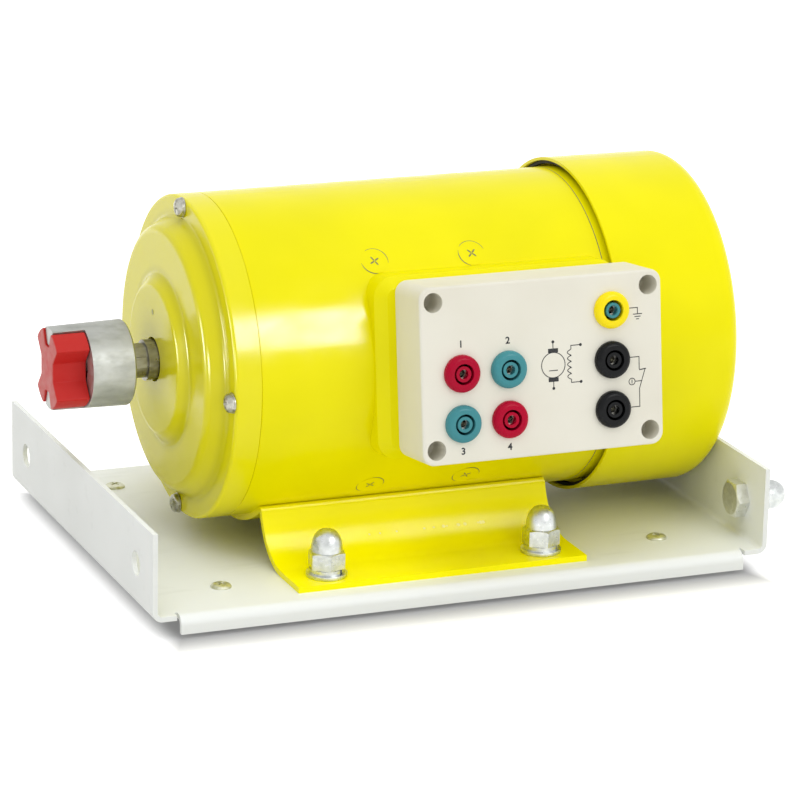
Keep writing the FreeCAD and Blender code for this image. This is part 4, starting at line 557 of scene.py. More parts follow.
class Paint(Enum):
    """The motor's finishes by what they are."""

    # Sprayed on a cast drum: a wet, even gloss that mirrors the lamps as soft bands.
    CASING = GlossEnamel("Gloss enamel, lemon yellow", "#F5EB00", 0.2, ior=1.22)
    # Baked on sheet steel: pale, even and dull, with no sharp reflection anywhere.
    BASE = PowderCoat("Powder coat, light warm grey", "#E6E8E3", 0.42, ior=1.35, rubbed="#DCDED8")
    # Plated bright in a barrel: small mirrors on the flats, broken by milky clouds.
    ZINC = PlatedSteel("Zinc-plated steel", "#DDE0DF", 0.3, 1.0, cloud="#C6CAC8")
    # Passivated after plating: a straw tinge that pools round the recess.
    YELLOW_ZINC = PlatedSteel("Yellow-passivated zinc", "#E2E2CB", 0.36, 0.75, cloud="#BDBD9C")
    # Cast, then turned: a soft grey sheen that streaks round the axis.
    HUB = TurnedMetal("Cast aluminium, turned", "#BFC1BD", 0.5, 1.0, stain="#A8AAA5", depth=0.003)
    # Turned bright and oiled: darker, warm metal with close rings.
    SHAFT = TurnedMetal("Bright turned steel", "#A9A79C", 0.3, 1.0, stain="#6E6A5C", pitch=0.4)
    # Ground and polished: almost a mirror.
    RINGS = TurnedMetal("Ground bearing steel", "#C9CBCE", 0.14, 1.0, stain="#A8ABB0", depth=0.002)
    # Cast in an open mould: satin red, with a painted highlight on the outer face and its edges.
    SPIDER = CastElastomer("Cast polyurethane, red", "#C4201B", 0.5, ior=1.35, face_highlight="#C66C67")
    # Moulded in a sparked tool: soft cream, its texture so fine that it only dulls the gloss.
    BOX = MouldedPlastic("ABS, cream, fine texture", "#E9E6D8", 0.42, ior=1.35, shade="#E3DFCF", mottle=40.0)
    # Moulded in a polished tool: deep crimson with small sharp highlights on the edges.
    RED = MouldedPlastic("Polyamide, crimson, gloss", "#B4002D", 0.22, ior=1.2, shade="#A80A2E", depth=0.002)
    # Moulded in a polished tool: blue-green, its rims catching a thin bright line.
    TEAL = MouldedPlastic("Polyamide, teal, gloss", "#438F96", 0.22, ior=1.3, shade="#3C858C", depth=0.002)
    # Moulded in a polished tool: a warmer, denser yellow than the enamel round it.
    YELLOW = MouldedPlastic("Polyamide, yellow, gloss", "#FFE900", 0.22, ior=1.3, shade="#F8E000",
                            depth=0.002)
    # Moulded in a polished tool: black that shows only by its edge highlights.
    BLACK = MouldedPlastic("Polyamide, black, gloss", "#131415", 0.24, ior=1.25, shade="#0F1011", depth=0.002)
    # Plated over a turned pin: a glint at the bottom of a dark bore.
    CONTACT = PlatedSteel("Nickel-plated brass", "#DCDBD3", 0.22, 1.0, cloud="#B4B2A8")
    # Drawn and left bare: warm yellow metal, dulled in patches.
    BRASS = PlatedSteel("Drawn brass", "#C9A24B", 0.28, 1.0, cloud="#A98538")
    # Moulded soft: nearly black and without shine.
    RUBBER = MouldedPlastic("Black rubber", "#1B1B1B", 0.72, shade="#262624", depth=0.02)
    # Moulded with glass fibre: black with a slightly grey, rough skin.
    NYLON = MouldedPlastic("Glass-filled nylon, black", "#1E2022", 0.5, shade="#2A2C2E", depth=0.02)
    # Cloth pressed in resin: brown, with the weave as a fine mottle.
    PHENOLIC = MouldedPlastic("Fabric phenolic", "#6B3A22", 0.42, shade="#4E2A18", mottle=1.2,
                              texture=0.6, depth=0.02)
    # Pressed from powder: dark grey with a faint sparkle.
    CARBON = MouldedPlastic("Pressed carbon", "#232425", 0.55, shade="#343638", mottle=1.0, depth=0.01)
    # Tempered in air: the blue of its oxide over bright metal.
    SPRING = PlatedSteel("Blued spring steel", "#5A6274", 0.28, 1.0, cloud="#3E4452")
    # Punched and stacked: fine light and dark lines across.
    LAMINATION = Laminated("Stacked steel laminations", "#6E7176", 0.42, 1.0)
    # Wound by hand and varnished: amber bands that overlap.
    TAPE = TapedCoil("Varnished cotton tape", "#CDB27A", 0.38)
    # Enamelled and laid side by side: copper-brown ridges.
    WIRE = MouldedPlastic("Enamelled copper wire", "#A4512A", 0.26, shade="#7E3418", texture=0.9, depth=0.05,
                          mottle=1.1)
    # Skimmed on a lathe: pink metal with fine rings, browned where the brushes run.
    COPPER = TurnedMetal("Turned copper", "#D98A5B", 0.22, 1.0, stain="#A45A34", pitch=0.4)
    # Screened thin: matt black lines with the lid's texture showing through.
    INK = ThinFilm("Screen ink, black", "#101214", 0.55)
    # Zinc that a driver has rubbed: greyer, with dark clouds.
    DULL_ZINC = PlatedSteel("Zinc-plated steel, dull", "#C6C5BA", 0.28, 1.0, cloud="#8C8A7C")
    # Zinc on a rough forged head: pale and cloudy, without mirrors.
    MATT_ZINC = PlatedSteel("Zinc-plated steel, matt", "#E6E7E2", 0.34, 0.8, cloud="#D3D4CD")
    # Painted shade: thin dark lines in the yellow where a gap, a recess or a joint would lie in shade.
    SHADE_LINES = ThinFilm("Painted shade lines, dark olive", "#77744A", 0.5, shade="#A5A12C")
    # The drum's enamel on the stepped end shield, with painted shade: darker faces and darker hollows between
    # bright edges.
    SHADED_CASTING = StepShadedEnamel("Gloss enamel, lemon yellow, on a casting", "#F0E600", 0.2, ior=1.36)
    # Drops of enamel that ran and set, coloured pale: a painted highlight on each.
    BEAD_HIGHLIGHT = GlossEnamel("Gloss enamel, bead with painted highlight", "#FFF8A6", 0.16, shade="#FFF48C")
    # Painted shade in the punch mark's hollow: a dull olive spot.
    PUNCH_SHADE = GlossEnamel("Gloss enamel, painted shade in a punch mark", "#A8A800", 0.3, shade="#8E8E00")


SOLIDS: dict[Paint, tuple[str, ...]] = {
    Paint.BASE: ("base_plate",),
    Paint.RUBBER: ("rubber_feet",),
    Paint.YELLOW_ZINC: ("foot_screws",),
    Paint.CASING: ("foot_bracket", "stator_tube", "rear_end_shield", "rear_cover", "pole_screws",
                   "terminal_riser"),
    Paint.SHADED_CASTING: ("front_end_shield",),
    Paint.ZINC: ("link_bolts", "link_washers", "link_nuts", "bracket_bolts", "bracket_washers",
                 "lock_washers", "domed_nuts", "saddle_screws", "shield_screws", "shield_washers",
                 "cover_pillars", "cover_screws", "hub_set_screw", "riser_screws", "lid_screws"),
    Paint.LAMINATION: ("pole_cores", "armature_core"),
    Paint.TAPE: ("field_coils",),
    Paint.NYLON: ("thermal_switch", "cooling_fan"),
    Paint.PHENOLIC: ("brush_ring", "commutator_sleeve"),
    Paint.BRASS: ("brush_holders", "socket_nuts"),
    Paint.SPRING: ("brush_springs", "preload_washer", "fan_clip"),
    Paint.CARBON: ("brush_front", "brush_top", "brush_back", "brush_bottom"),
    Paint.RINGS: ("front_bearing_outer", "front_bearing_inner", "rear_bearing_outer",
                  "rear_bearing_inner", "bearing_balls"),
    Paint.SHAFT: ("shaft", "shaft_key"),
    Paint.WIRE: ("armature_winding",),
    Paint.COPPER: ("commutator_bars",),
    Paint.HUB: ("coupling_hub",),
    Paint.SPIDER: ("coupling_spider",),
    Paint.BOX: ("terminal_box", "terminal_lid"),
    Paint.RED: ("red_sockets",),
    Paint.TEAL: ("teal_sockets",),
    Paint.YELLOW: ("earth_socket",),
    Paint.BLACK: ("black_sockets",),
    Paint.CONTACT: ("socket_contacts",),
}


def dress_solids() -> None:
    """Give every solid of the frame its real finish."""
    for paint, nodes in SOLIDS.items():
        for node in nodes:
            solid = frame["nodes"][node]
            solid.data.materials.clear()
            solid.data.materials.append(paint.value.build())
            LOG.info("solid %s: %s", node, paint.value.name)


# ------------------------------------------------------------------------------------------------
# Making pieces
# ------------------------------------------------------------------------------------------------
def enter(name: str, mesh: Mesh, paint: Paint, stands_for: Sequence[str] = (),
          body: str = "frame") -> Piece:
    """Put a finished mesh in the scene as a piece of the motor.

    Args:
        name: Name of the piece.
        mesh: Its mesh, already in place, in metres.
        paint: Its finish.
        stands_for: Solids that it is shown in place of.
        body: The body that it moves with.

    Returns:
        The piece.
    """
    piece = bpy.data.objects.new(name, mesh)
    bpy.context.scene.collection.objects.link(piece)
    mesh.materials.clear()
    mesh.materials.append(paint.value.build())
    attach(piece, body)
    if stands_for:
        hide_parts(*stands_for)
    LOG.info("piece %s: %d faces, %s", name, len(mesh.polygons), paint.value.name)
    return piece


def from_bmesh(name: str, shape: Shape, crease: float = 32.0) -> Mesh:
    """Turn a bmesh into a smooth mesh, sharp where it turns more than crease degrees."""
    bmesh.ops.recalc_face_normals(shape, faces=shape.faces)
    mesh = bpy.data.meshes.new(name)
    shape.to_mesh(mesh)
    shape.free()
    mesh.polygons.foreach_set("use_smooth", [True] * len(mesh.polygons))
    mesh.set_sharp_from_angle(angle=math.radians(crease))
    return mesh


def flat_mesh(name: str, shape: Shape, inward: Sequence[bmesh.types.BMFace]) -> Mesh:
    """Turn a bmesh of flat marks into a mesh, with the faces that look inward turned round."""
    bmesh.ops.reverse_faces(shape, faces=inward)
    mesh = bpy.data.meshes.new(name)
    shape.to_mesh(mesh)
    shape.free()
    return mesh


def evaluated_mesh(holder: Piece) -> Mesh:
    """Plain mesh of a new object as its modifiers leave it. The object goes."""
    bpy.context.scene.collection.objects.link(holder)
    bpy.context.view_layer.update()
    made = bpy.data.meshes.new_from_object(holder.evaluated_get(bpy.context.evaluated_depsgraph_get()))
    holder.modifiers.clear()
    bpy.data.objects.remove(holder)
    return made


def lathe(shape: Shape, profile: Sequence[Pair], place: Matrix, steps: int) -> None:
    """Turn a profile of (radius, height) in millimetres round a place's Z axis.

    Args:
        shape: Bmesh that gets the faces.
        profile: Points from one end to the other; a radius of 0 is a closed pole.
        place: Local frame in metres.
        steps: Facets round the axis.
    """
    rings = []
    for radius, height in profile:
        if radius == 0.0:
            rings.append([shape.verts.new(place @ Vector((0.0, 0.0, height * MM)))] * steps)
            continue
        turns = [2 * math.pi * i / steps for i in range(steps)]
        circle = [Vector((radius * math.cos(a), radius * math.sin(a), height)) for a in turns]
        rings.append([shape.verts.new(place @ (spot * MM)) for spot in circle])
    for low, high in zip(rings, rings[1:]):
        for i in range(steps):
            k = (i + 1) % steps
            corners = list(dict.fromkeys((low[i], low[k], high[k], high[i])))
            if len(corners) > 2:
                shape.faces.new(corners)


def turned_mesh(name: str, profile: Sequence[Pair], place: Matrix, steps: int) -> Mesh:
    """Closed ring turned from a profile that ends where it starts."""
    shape = bmesh.new()
    lathe(shape, profile, place, steps)
    bmesh.ops.remove_doubles(shape, verts=shape.verts, dist=WELD * MM)
    return from_bmesh(name, shape)


@dataclass(frozen=True)
class EasedSolid:
    """A solid shown with its sharp edges broken over a width, as paint or a file leaves them."""

    name: str
    node: str
    paint: Paint
    slot: str
    width: float
    body: str = "frame"
    # Points nearer than this are one; faces that turn less than flat degrees are one.
    weld: float = 0.002
    flat: float = 0.2
    # Edges that turn more than this many degrees are broken.
    sharp: float = 28.0

    def build(self) -> Piece:
        """Copy the solid, break its edges and show the copy in its place."""
        shape = bmesh.new()
        shape.from_mesh(frame["nodes"][self.node].data)
        bmesh.ops.remove_doubles(shape, verts=shape.verts, dist=self.weld * MM)
        bmesh.ops.dissolve_limit(shape, angle_limit=math.radians(self.flat), verts=shape.verts,
                                 edges=shape.edges)
        mesh = bpy.data.meshes.new(self.name)
        shape.to_mesh(mesh)
        shape.free()
        mesh.polygons.foreach_set("use_smooth", [True] * len(mesh.polygons))
        rough = bpy.data.objects.new(self.name + "_rough", mesh)
        bevel = rough.modifiers.new("bevel", "BEVEL")
        bevel.width = self.width * MM
        bevel.segments = 2
        bevel.limit_method = "ANGLE"
        bevel.angle_limit = math.radians(self.sharp)
        bevel.miter_outer = "MITER_ARC"
        even = rough.modifiers.new("even", "WEIGHTED_NORMAL")
        even.weight = 100
        even.keep_sharp = True
        made = evaluated_mesh(rough)
        bpy.data.meshes.remove(mesh)
        return enter(self.name, made, self.paint, [self.node], self.body)


EASED = (
    EasedSolid("tray", "base_plate", Paint.BASE, "base_paint", 0.35),
    EasedSolid("saddle_bracket", "foot_bracket", Paint.CASING, "yellow_paint", 0.55),
    EasedSolid("hub", "coupling_hub", Paint.HUB, "cast_aluminium", 0.35, "rotor"),
    EasedSolid("spider", "coupling_spider", Paint.SPIDER, "red_elastomer", 0.45, "spider"),
    EasedSolid("riser", "terminal_riser", Paint.CASING, "yellow_paint", 0.8),
    EasedSolid("bolt_washers", "bracket_washers", Paint.ZINC, "zinc", 0.3),
    EasedSolid("link_rings", "link_washers", Paint.ZINC, "zinc", 0.3),
    EasedSolid("end_washers", "shield_washers", Paint.DULL_ZINC, "zinc", 0.2),
)


@dataclass(frozen=True)
class Seat:
    """Where a fastener stands: a point in metres, the way out of it, and its turn in degrees."""

    point: Vector
    axis: Vector
    turn: float = 0.0

    def spin(self) -> Triple:
        """Euler angles that stand a form on this seat."""
        stand = self.axis.to_track_quat("Z", "Y")
        return tuple((stand @ Quaternion((0.0, 0.0, 1.0), math.radians(self.turn))).to_euler())


class Recipe:
    """Geometry Nodes tree that makes one form from named sizes and sets it on every seat."""

    # Columns and rows of the grid that a form of revolution is bent from, 1 unit wide and high.
    columns = 33
    rows = 11
    # The hexagon's flat top as a share of its flats, and run over rise of its 30 degree chamfer.
    land = 0.47
    chamfer_run = 1.732
    cone_sides = 48
    shank_sides = 20
    # Radians past which an edge stays sharp.
    crease = 0.5

    def __init__(self, name: str, sizes: dict[str, float]) -> None:
        """Start a tree whose inputs are the seats, the sizes in millimetres and the finish."""
        self.tree = bpy.data.node_groups.new(name, "GeometryNodeTree")
        face = self.tree.interface
        face.new_socket("Seats", in_out="INPUT", socket_type="NodeSocketGeometry")
        for label, value in sizes.items():
            face.new_socket(label, in_out="INPUT", socket_type="NodeSocketFloat").default_value = value
        face.new_socket("Finish", in_out="INPUT", socket_type="NodeSocketMaterial")
        face.new_socket("Fasteners", in_out="OUTPUT", socket_type="NodeSocketGeometry")
        self.entry = add_node(self.tree, "NodeGroupInput")

    def size(self, label: str) -> Socket:
        """Socket of a named size."""
        return self.entry.outputs[label]

    def lifted(self, form: Socket, height: Socket, turn: float = 0.0, thin: float = 1.0) -> Socket:
        """Form moved up by a height, turned about its axis and thinned across it."""
        rise = add_node(self.tree, COMBINE, links={"Z": height})
        diagonal = math.radians(45.0) if thin < 1.0 else 0.0
        narrow = add_node(self.tree, MOVE, values={"Rotation": (0.0, 0.0, diagonal)},
                          links={"Geometry": form})
        squashed = add_node(self.tree, MOVE, values={"Scale": (1.0, thin, 1.0)},
                            links={"Geometry": narrow.outputs[0]})
        moved = add_node(self.tree, MOVE, values={"Rotation": (0.0, 0.0, turn)},
                         links={"Geometry": squashed.outputs[0], "Translation": rise.outputs[0]})
        return moved.outputs[0]

    def domed(self, radius: Socket, height: Socket, fullness: Socket) -> Socket:
        """Closed form of revolution with a flat foot and a rounded crown; a higher fullness is squarer."""
        tree = self.tree
        pole_row = -0.5
        rim_row = pole_row + 1.0 / (self.rows - 1)
        grid = add_node(tree, "GeometryNodeMeshGrid",
                        values={"Size X": 1.0, "Size Y": 1.0, "Vertices X": self.columns,
                                "Vertices Y": self.rows})
        spot = add_node(tree, SPLIT,
                        links={0: add_node(tree, "GeometryNodeInputPosition").outputs[0]})
        around = add_node(tree, MATH, {"operation": "MULTIPLY"}, {1: math.tau},
                          {0: spot.outputs["X"]})
        rise = add_node(tree, MAP_RANGE,
                        values={"From Min": rim_row, "From Max": 0.5, "To Min": 0.0, "To Max": math.pi / 2},
                        links={"Value": spot.outputs["Y"]})
        off_pole = add_node(tree, MATH, {"operation": "GREATER_THAN"},
                            {1: (pole_row + rim_row) / 2}, {0: spot.outputs["Y"]})
        power = add_node(tree, MATH, {"operation": "DIVIDE"}, {0: 2.0}, {1: fullness})
        spans = []
        for wave, scale in (("COSINE", radius), ("SINE", height)):
            part = add_node(tree, MATH, {"operation": wave}, links={0: rise.outputs[0]})
            share = add_node(tree, MATH, {"operation": "POWER"},
                             links={0: part.outputs[0], 1: power.outputs[0]})
            spans.append(add_node(tree, MATH, {"operation": "MULTIPLY"},
                                  links={0: share.outputs[0], 1: scale}))
        out = add_node(tree, MATH, {"operation": "MULTIPLY"},
                       links={0: spans[0].outputs[0], 1: off_pole.outputs[0]})
        section = add_node(tree, COMBINE, links={"X": out.outputs[0], "Z": spans[1].outputs[0]})
        turned = add_node(tree, "ShaderNodeVectorRotate", {"rotation_type": "Z_AXIS"},
                          links={"Vector": section.outputs[0], "Angle": around.outputs[0]})
        bent = add_node(tree, "GeometryNodeSetPosition",
                        links={"Geometry": grid.outputs["Mesh"], "Position": turned.outputs[0]})
        closed = add_node(tree, "GeometryNodeMergeByDistance", values={"Distance": WELD},
                          links={"Geometry": bent.outputs[0]})
        return closed.outputs[0]

    def joined(self, kind: str, operation: str, forms: Sequence[Socket],
               first: Socket | None = None) -> Socket:
        """Boolean or plain join of several forms, cut from a first one where that is given."""
        settings = {"operation": operation, "solver": "EXACT"} if operation else None
        node = add_node(self.tree, kind, settings, links={"Mesh 1": first} if first else None)
        target = node.inputs["Mesh 2" if operation else "Geometry"]
        for form in forms:
            self.tree.links.new(form, target)
        return node.outputs[0]

    def hexagon(self, flats: Socket, height: Socket) -> Socket:
        """Hexagon prism standing on z = 0, its upper corners chamfered at 30 degrees."""
        tree = self.tree
        corner = add_node(tree, MATH, {"operation": "DIVIDE"}, {1: math.sqrt(3.0)}, {0: flats})
        half = add_node(tree, MATH, {"operation": "MULTIPLY"}, {1: 0.5}, {0: height})
        prism = add_node(tree, "GeometryNodeMeshCylinder", values={"Vertices": 6},
                         links={"Radius": corner.outputs[0], "Depth": height})
        land = add_node(tree, MATH, {"operation": "MULTIPLY"}, {1: self.land}, {0: flats})
        wide = add_node(tree, MATH, {"operation": "MULTIPLY_ADD"}, {1: self.chamfer_run},
                        {0: height, 2: land.outputs[0]})
        cone = add_node(tree, "GeometryNodeMeshCone", values={"Vertices": self.cone_sides},
                        links={"Radius Top": land.outputs[0], "Radius Bottom": wide.outputs[0],
                               "Depth": height})
        return self.joined("GeometryNodeMeshBoolean", "INTERSECT",
                           [self.lifted(prism.outputs["Mesh"], half.outputs[0]), cone.outputs["Mesh"]])

    def shank(self, radius: Socket, length: Socket) -> Socket:
        """Plain shank below z = 0."""
        down = add_node(self.tree, MATH, {"operation": "MULTIPLY"}, {1: -0.5}, {0: length})
        rod = add_node(self.tree, "GeometryNodeMeshCylinder", values={"Vertices": self.shank_sides},
                       links={"Radius": radius, "Depth": length})
        return self.lifted(rod.outputs["Mesh"], down.outputs[0])

    def close(self, forms: Sequence[Socket]) -> None:
        """End the tree: shade the forms, set them on the seats, realize them and give them the finish."""
        tree = self.tree
        both = self.joined("GeometryNodeJoinGeometry", "", forms)
        round_faces = add_node(tree, "GeometryNodeSetShadeSmooth", {"domain": "FACE"},
                               links={"Geometry": both})
        turn = add_node(tree, "GeometryNodeInputMeshEdgeAngle")
        sharp = add_node(tree, MATH, {"operation": "GREATER_THAN"}, {1: self.crease},
                         {0: turn.outputs["Unsigned Angle"]})
        edges = add_node(tree, "GeometryNodeSetShadeSmooth", {"domain": "EDGE"}, {"Shade Smooth": False},
                         {"Geometry": round_faces.outputs[0], "Selection": sharp.outputs[0]})
        spin = add_node(tree, "GeometryNodeInputNamedAttribute", {"data_type": "FLOAT_VECTOR"},
                        {"Name": "spin"})
        stand = add_node(tree, "FunctionNodeEulerToRotation", links={0: spin.outputs["Attribute"]})
        placed = add_node(tree, "GeometryNodeInstanceOnPoints", values={"Scale": (MM, MM, MM)},
                          links={"Points": self.entry.outputs["Seats"], "Instance": edges.outputs[0],
                                 "Rotation": stand.outputs[0]})
        real = add_node(tree, "GeometryNodeRealizeInstances", links={"Geometry": placed.outputs[0]})
        dressed = add_node(tree, "GeometryNodeSetMaterial",
                           links={"Geometry": real.outputs[0], "Material": self.entry.outputs["Finish"]})
        add_node(tree, "NodeGroupOutput", links={0: dressed.outputs[0]})

    def make(self, name: str, seats: Sequence[Seat], sizes: dict[str, float], paint: Paint) -> Mesh:
        """Run the tree on seats and return its result as a plain mesh.

        Args:
            name: Name of the mesh.
            seats: Where the forms stand.
            sizes: Named sizes in millimetres that differ from the tree's own.
            paint: The forms' finish.

        Returns:
            The mesh, in place.
        """
        points = bpy.data.meshes.new(name + "_seats")
        points.from_pydata([tuple(seat.point) for seat in seats], [], [])
        spins = points.attributes.new("spin", "FLOAT_VECTOR", "POINT")
        for spin, seat in zip(spins.data, seats):
            spin.vector = seat.spin()
        holder = bpy.data.objects.new(name + "_seats", points)
        modifier = holder.modifiers.new("recipe", "NODES")
        modifier.node_group = self.tree
        wanted = {**sizes, "Finish": paint.value.build()}
        for item in self.tree.interface.items_tree:
            if item.item_type == "SOCKET" and item.in_out == "INPUT" and item.name in wanted:
                modifier[item.identifier] = wanted[item.name]
        made = evaluated_mesh(holder)
        made.name = name
        bpy.data.meshes.remove(points)
        return made

    def fit(self, name: str, seats: Sequence[Seat], sizes: dict[str, float], paint: Paint, slot: str,
            *stands_for: str) -> Piece:
        """Make the forms on their seats and enter them as one piece."""
        return enter(name, self.make(name, seats, sizes, paint), paint, stands_for)


@dataclass
class CrossHeadScrews:
    """Pan-head screws with a cross recess: end shields, feet, cover and box lid."""

    head_fullness: float = 2.9
    wing_taper: float = 0.55
    wing_thinness: float = 0.24
    wing_proud: float = 0.05
    end_circle: float = 75.5
    end_turn: float = -1.5
    front_seat: float = -108.4
    rear_seat: float = 98.9
    foot_x: float = 114.6
    foot_y: float = 81.0
    cover_circle: float = 64.0
    cover_seat: float = 156.2
    well_x: float = 55.5
    well_z: float = 35.2
    well_seat: float = 91.0
    # Where the recesses came to rest, in degrees, or the seed that draws it.
    end_seed: int = 4
    foot_seed: int = 9
    cover_turns: Triple = (20.0, 51.0, 82.0)
    well_turn: float = 33.0

    def recipe(self) -> Recipe:
        """Tree of the screw: a domed head less two crossed tapering wings, on its shank."""
        tree = Recipe("cross_head_screw", {
            "Head radius": 4.7, "Head height": 3.1, "Fullness": self.head_fullness, "Wing": 3.6,
            "Recess": 1.9, "Shank radius": 2.5, "Shank length": 10.0})
        head = tree.domed(tree.size("Head radius"), tree.size("Head height"), tree.size("Fullness"))
        narrow = add_node(tree.tree, MATH, {"operation": "MULTIPLY"},
                          {1: self.wing_taper}, {0: tree.size("Wing")})
        wing = add_node(tree.tree, "GeometryNodeMeshCone", values={"Vertices": 4},
                        links={"Radius Top": tree.size("Wing"), "Radius Bottom": narrow.outputs[0],
                               "Depth": tree.size("Recess")})
        floor = add_node(tree.tree, MATH, {"operation": "SUBTRACT"},
                         links={0: tree.size("Head height"), 1: tree.size("Recess")})
        above = add_node(tree.tree, MATH, {"operation": "ADD"}, {1: self.wing_proud}, {0: floor.outputs[0]})
        wings = [tree.lifted(wing.outputs["Mesh"], above.outputs[0], turn, self.wing_thinness)
                 for turn in (0.0, math.pi / 2)]
        cut = tree.joined("GeometryNodeMeshBoolean", "DIFFERENCE", wings, head)
        tree.close([cut, tree.shank(tree.size("Shank radius"), tree.size("Shank length"))])
        return tree

    def end_seats(self) -> list[Seat]:
        """Four seats on each end shield's rim, their recesses turned as they came to rest."""
        turns = random.Random(self.end_seed)
        seats = []
        for x, way in ((self.front_seat, -1.0), (self.rear_seat, 1.0)):
            for quarter in range(4):
                place = DATUM.polar(x, self.end_circle, self.end_turn + 90.0 * quarter)
                seats.append(Seat(place, Vector((way, 0.0, 0.0)), turns.uniform(0.0, 90.0)))
        return seats

    def foot_seats(self) -> list[Seat]:
        """Four seats on the tray's floor, over the rubber feet."""
        turns = random.Random(self.foot_seed)
        return [Seat(DATUM.at(x, y, DATUM.plate_top), Vector((0.0, 0.0, 1.0)), turns.uniform(0.0, 90.0))
                for x in (-self.foot_x, self.foot_x) for y in (-self.foot_y, self.foot_y)]

    def cover_seats(self) -> list[Seat]:
        """Three seats on the closed end of the rear cover."""
        return [Seat(DATUM.polar(self.cover_seat, self.cover_circle, 90.0 + 120.0 * third),
                     Vector((1.0, 0.0, 0.0)), turn) for third, turn in enumerate(self.cover_turns)]

    def well_seats(self) -> list[Seat]:
        """Four seats on the floors of the lid's wells."""
        return [Seat(PANEL.point(PANEL.centre_x + x, PANEL.centre_z + z, self.well_seat),
                     PANEL.normal(), self.well_turn)
                for x in (-self.well_x, self.well_x) for z in (-self.well_z, self.well_z)]

    def build(self) -> None:
        """Make the four sets."""
        tree = self.recipe()
        tree.fit("end_screws", self.end_seats(), {"Shank length": 10.0}, Paint.DULL_ZINC, "zinc",
                 "shield_screws")
        tree.fit("feet_screws", self.foot_seats(),
                 {"Head radius": 5.1, "Head height": 1.9, "Wing": 3.8, "Recess": 1.3, "Shank length": 8.5},
                 Paint.YELLOW_ZINC, "yellow_zinc", "foot_screws")
        tree.fit("grille_screws", self.cover_seats(), {"Shank length": 11.0}, Paint.DULL_ZINC, "zinc",
                 "cover_screws")
        tree.fit("well_screws", self.well_seats(),
                 {"Head radius": 4.0, "Head height": 2.6, "Wing": 3.0, "Recess": 1.6, "Shank radius": 2.0,
                  "Shank length": 4.0}, Paint.DULL_ZINC, "zinc", "lid_screws")


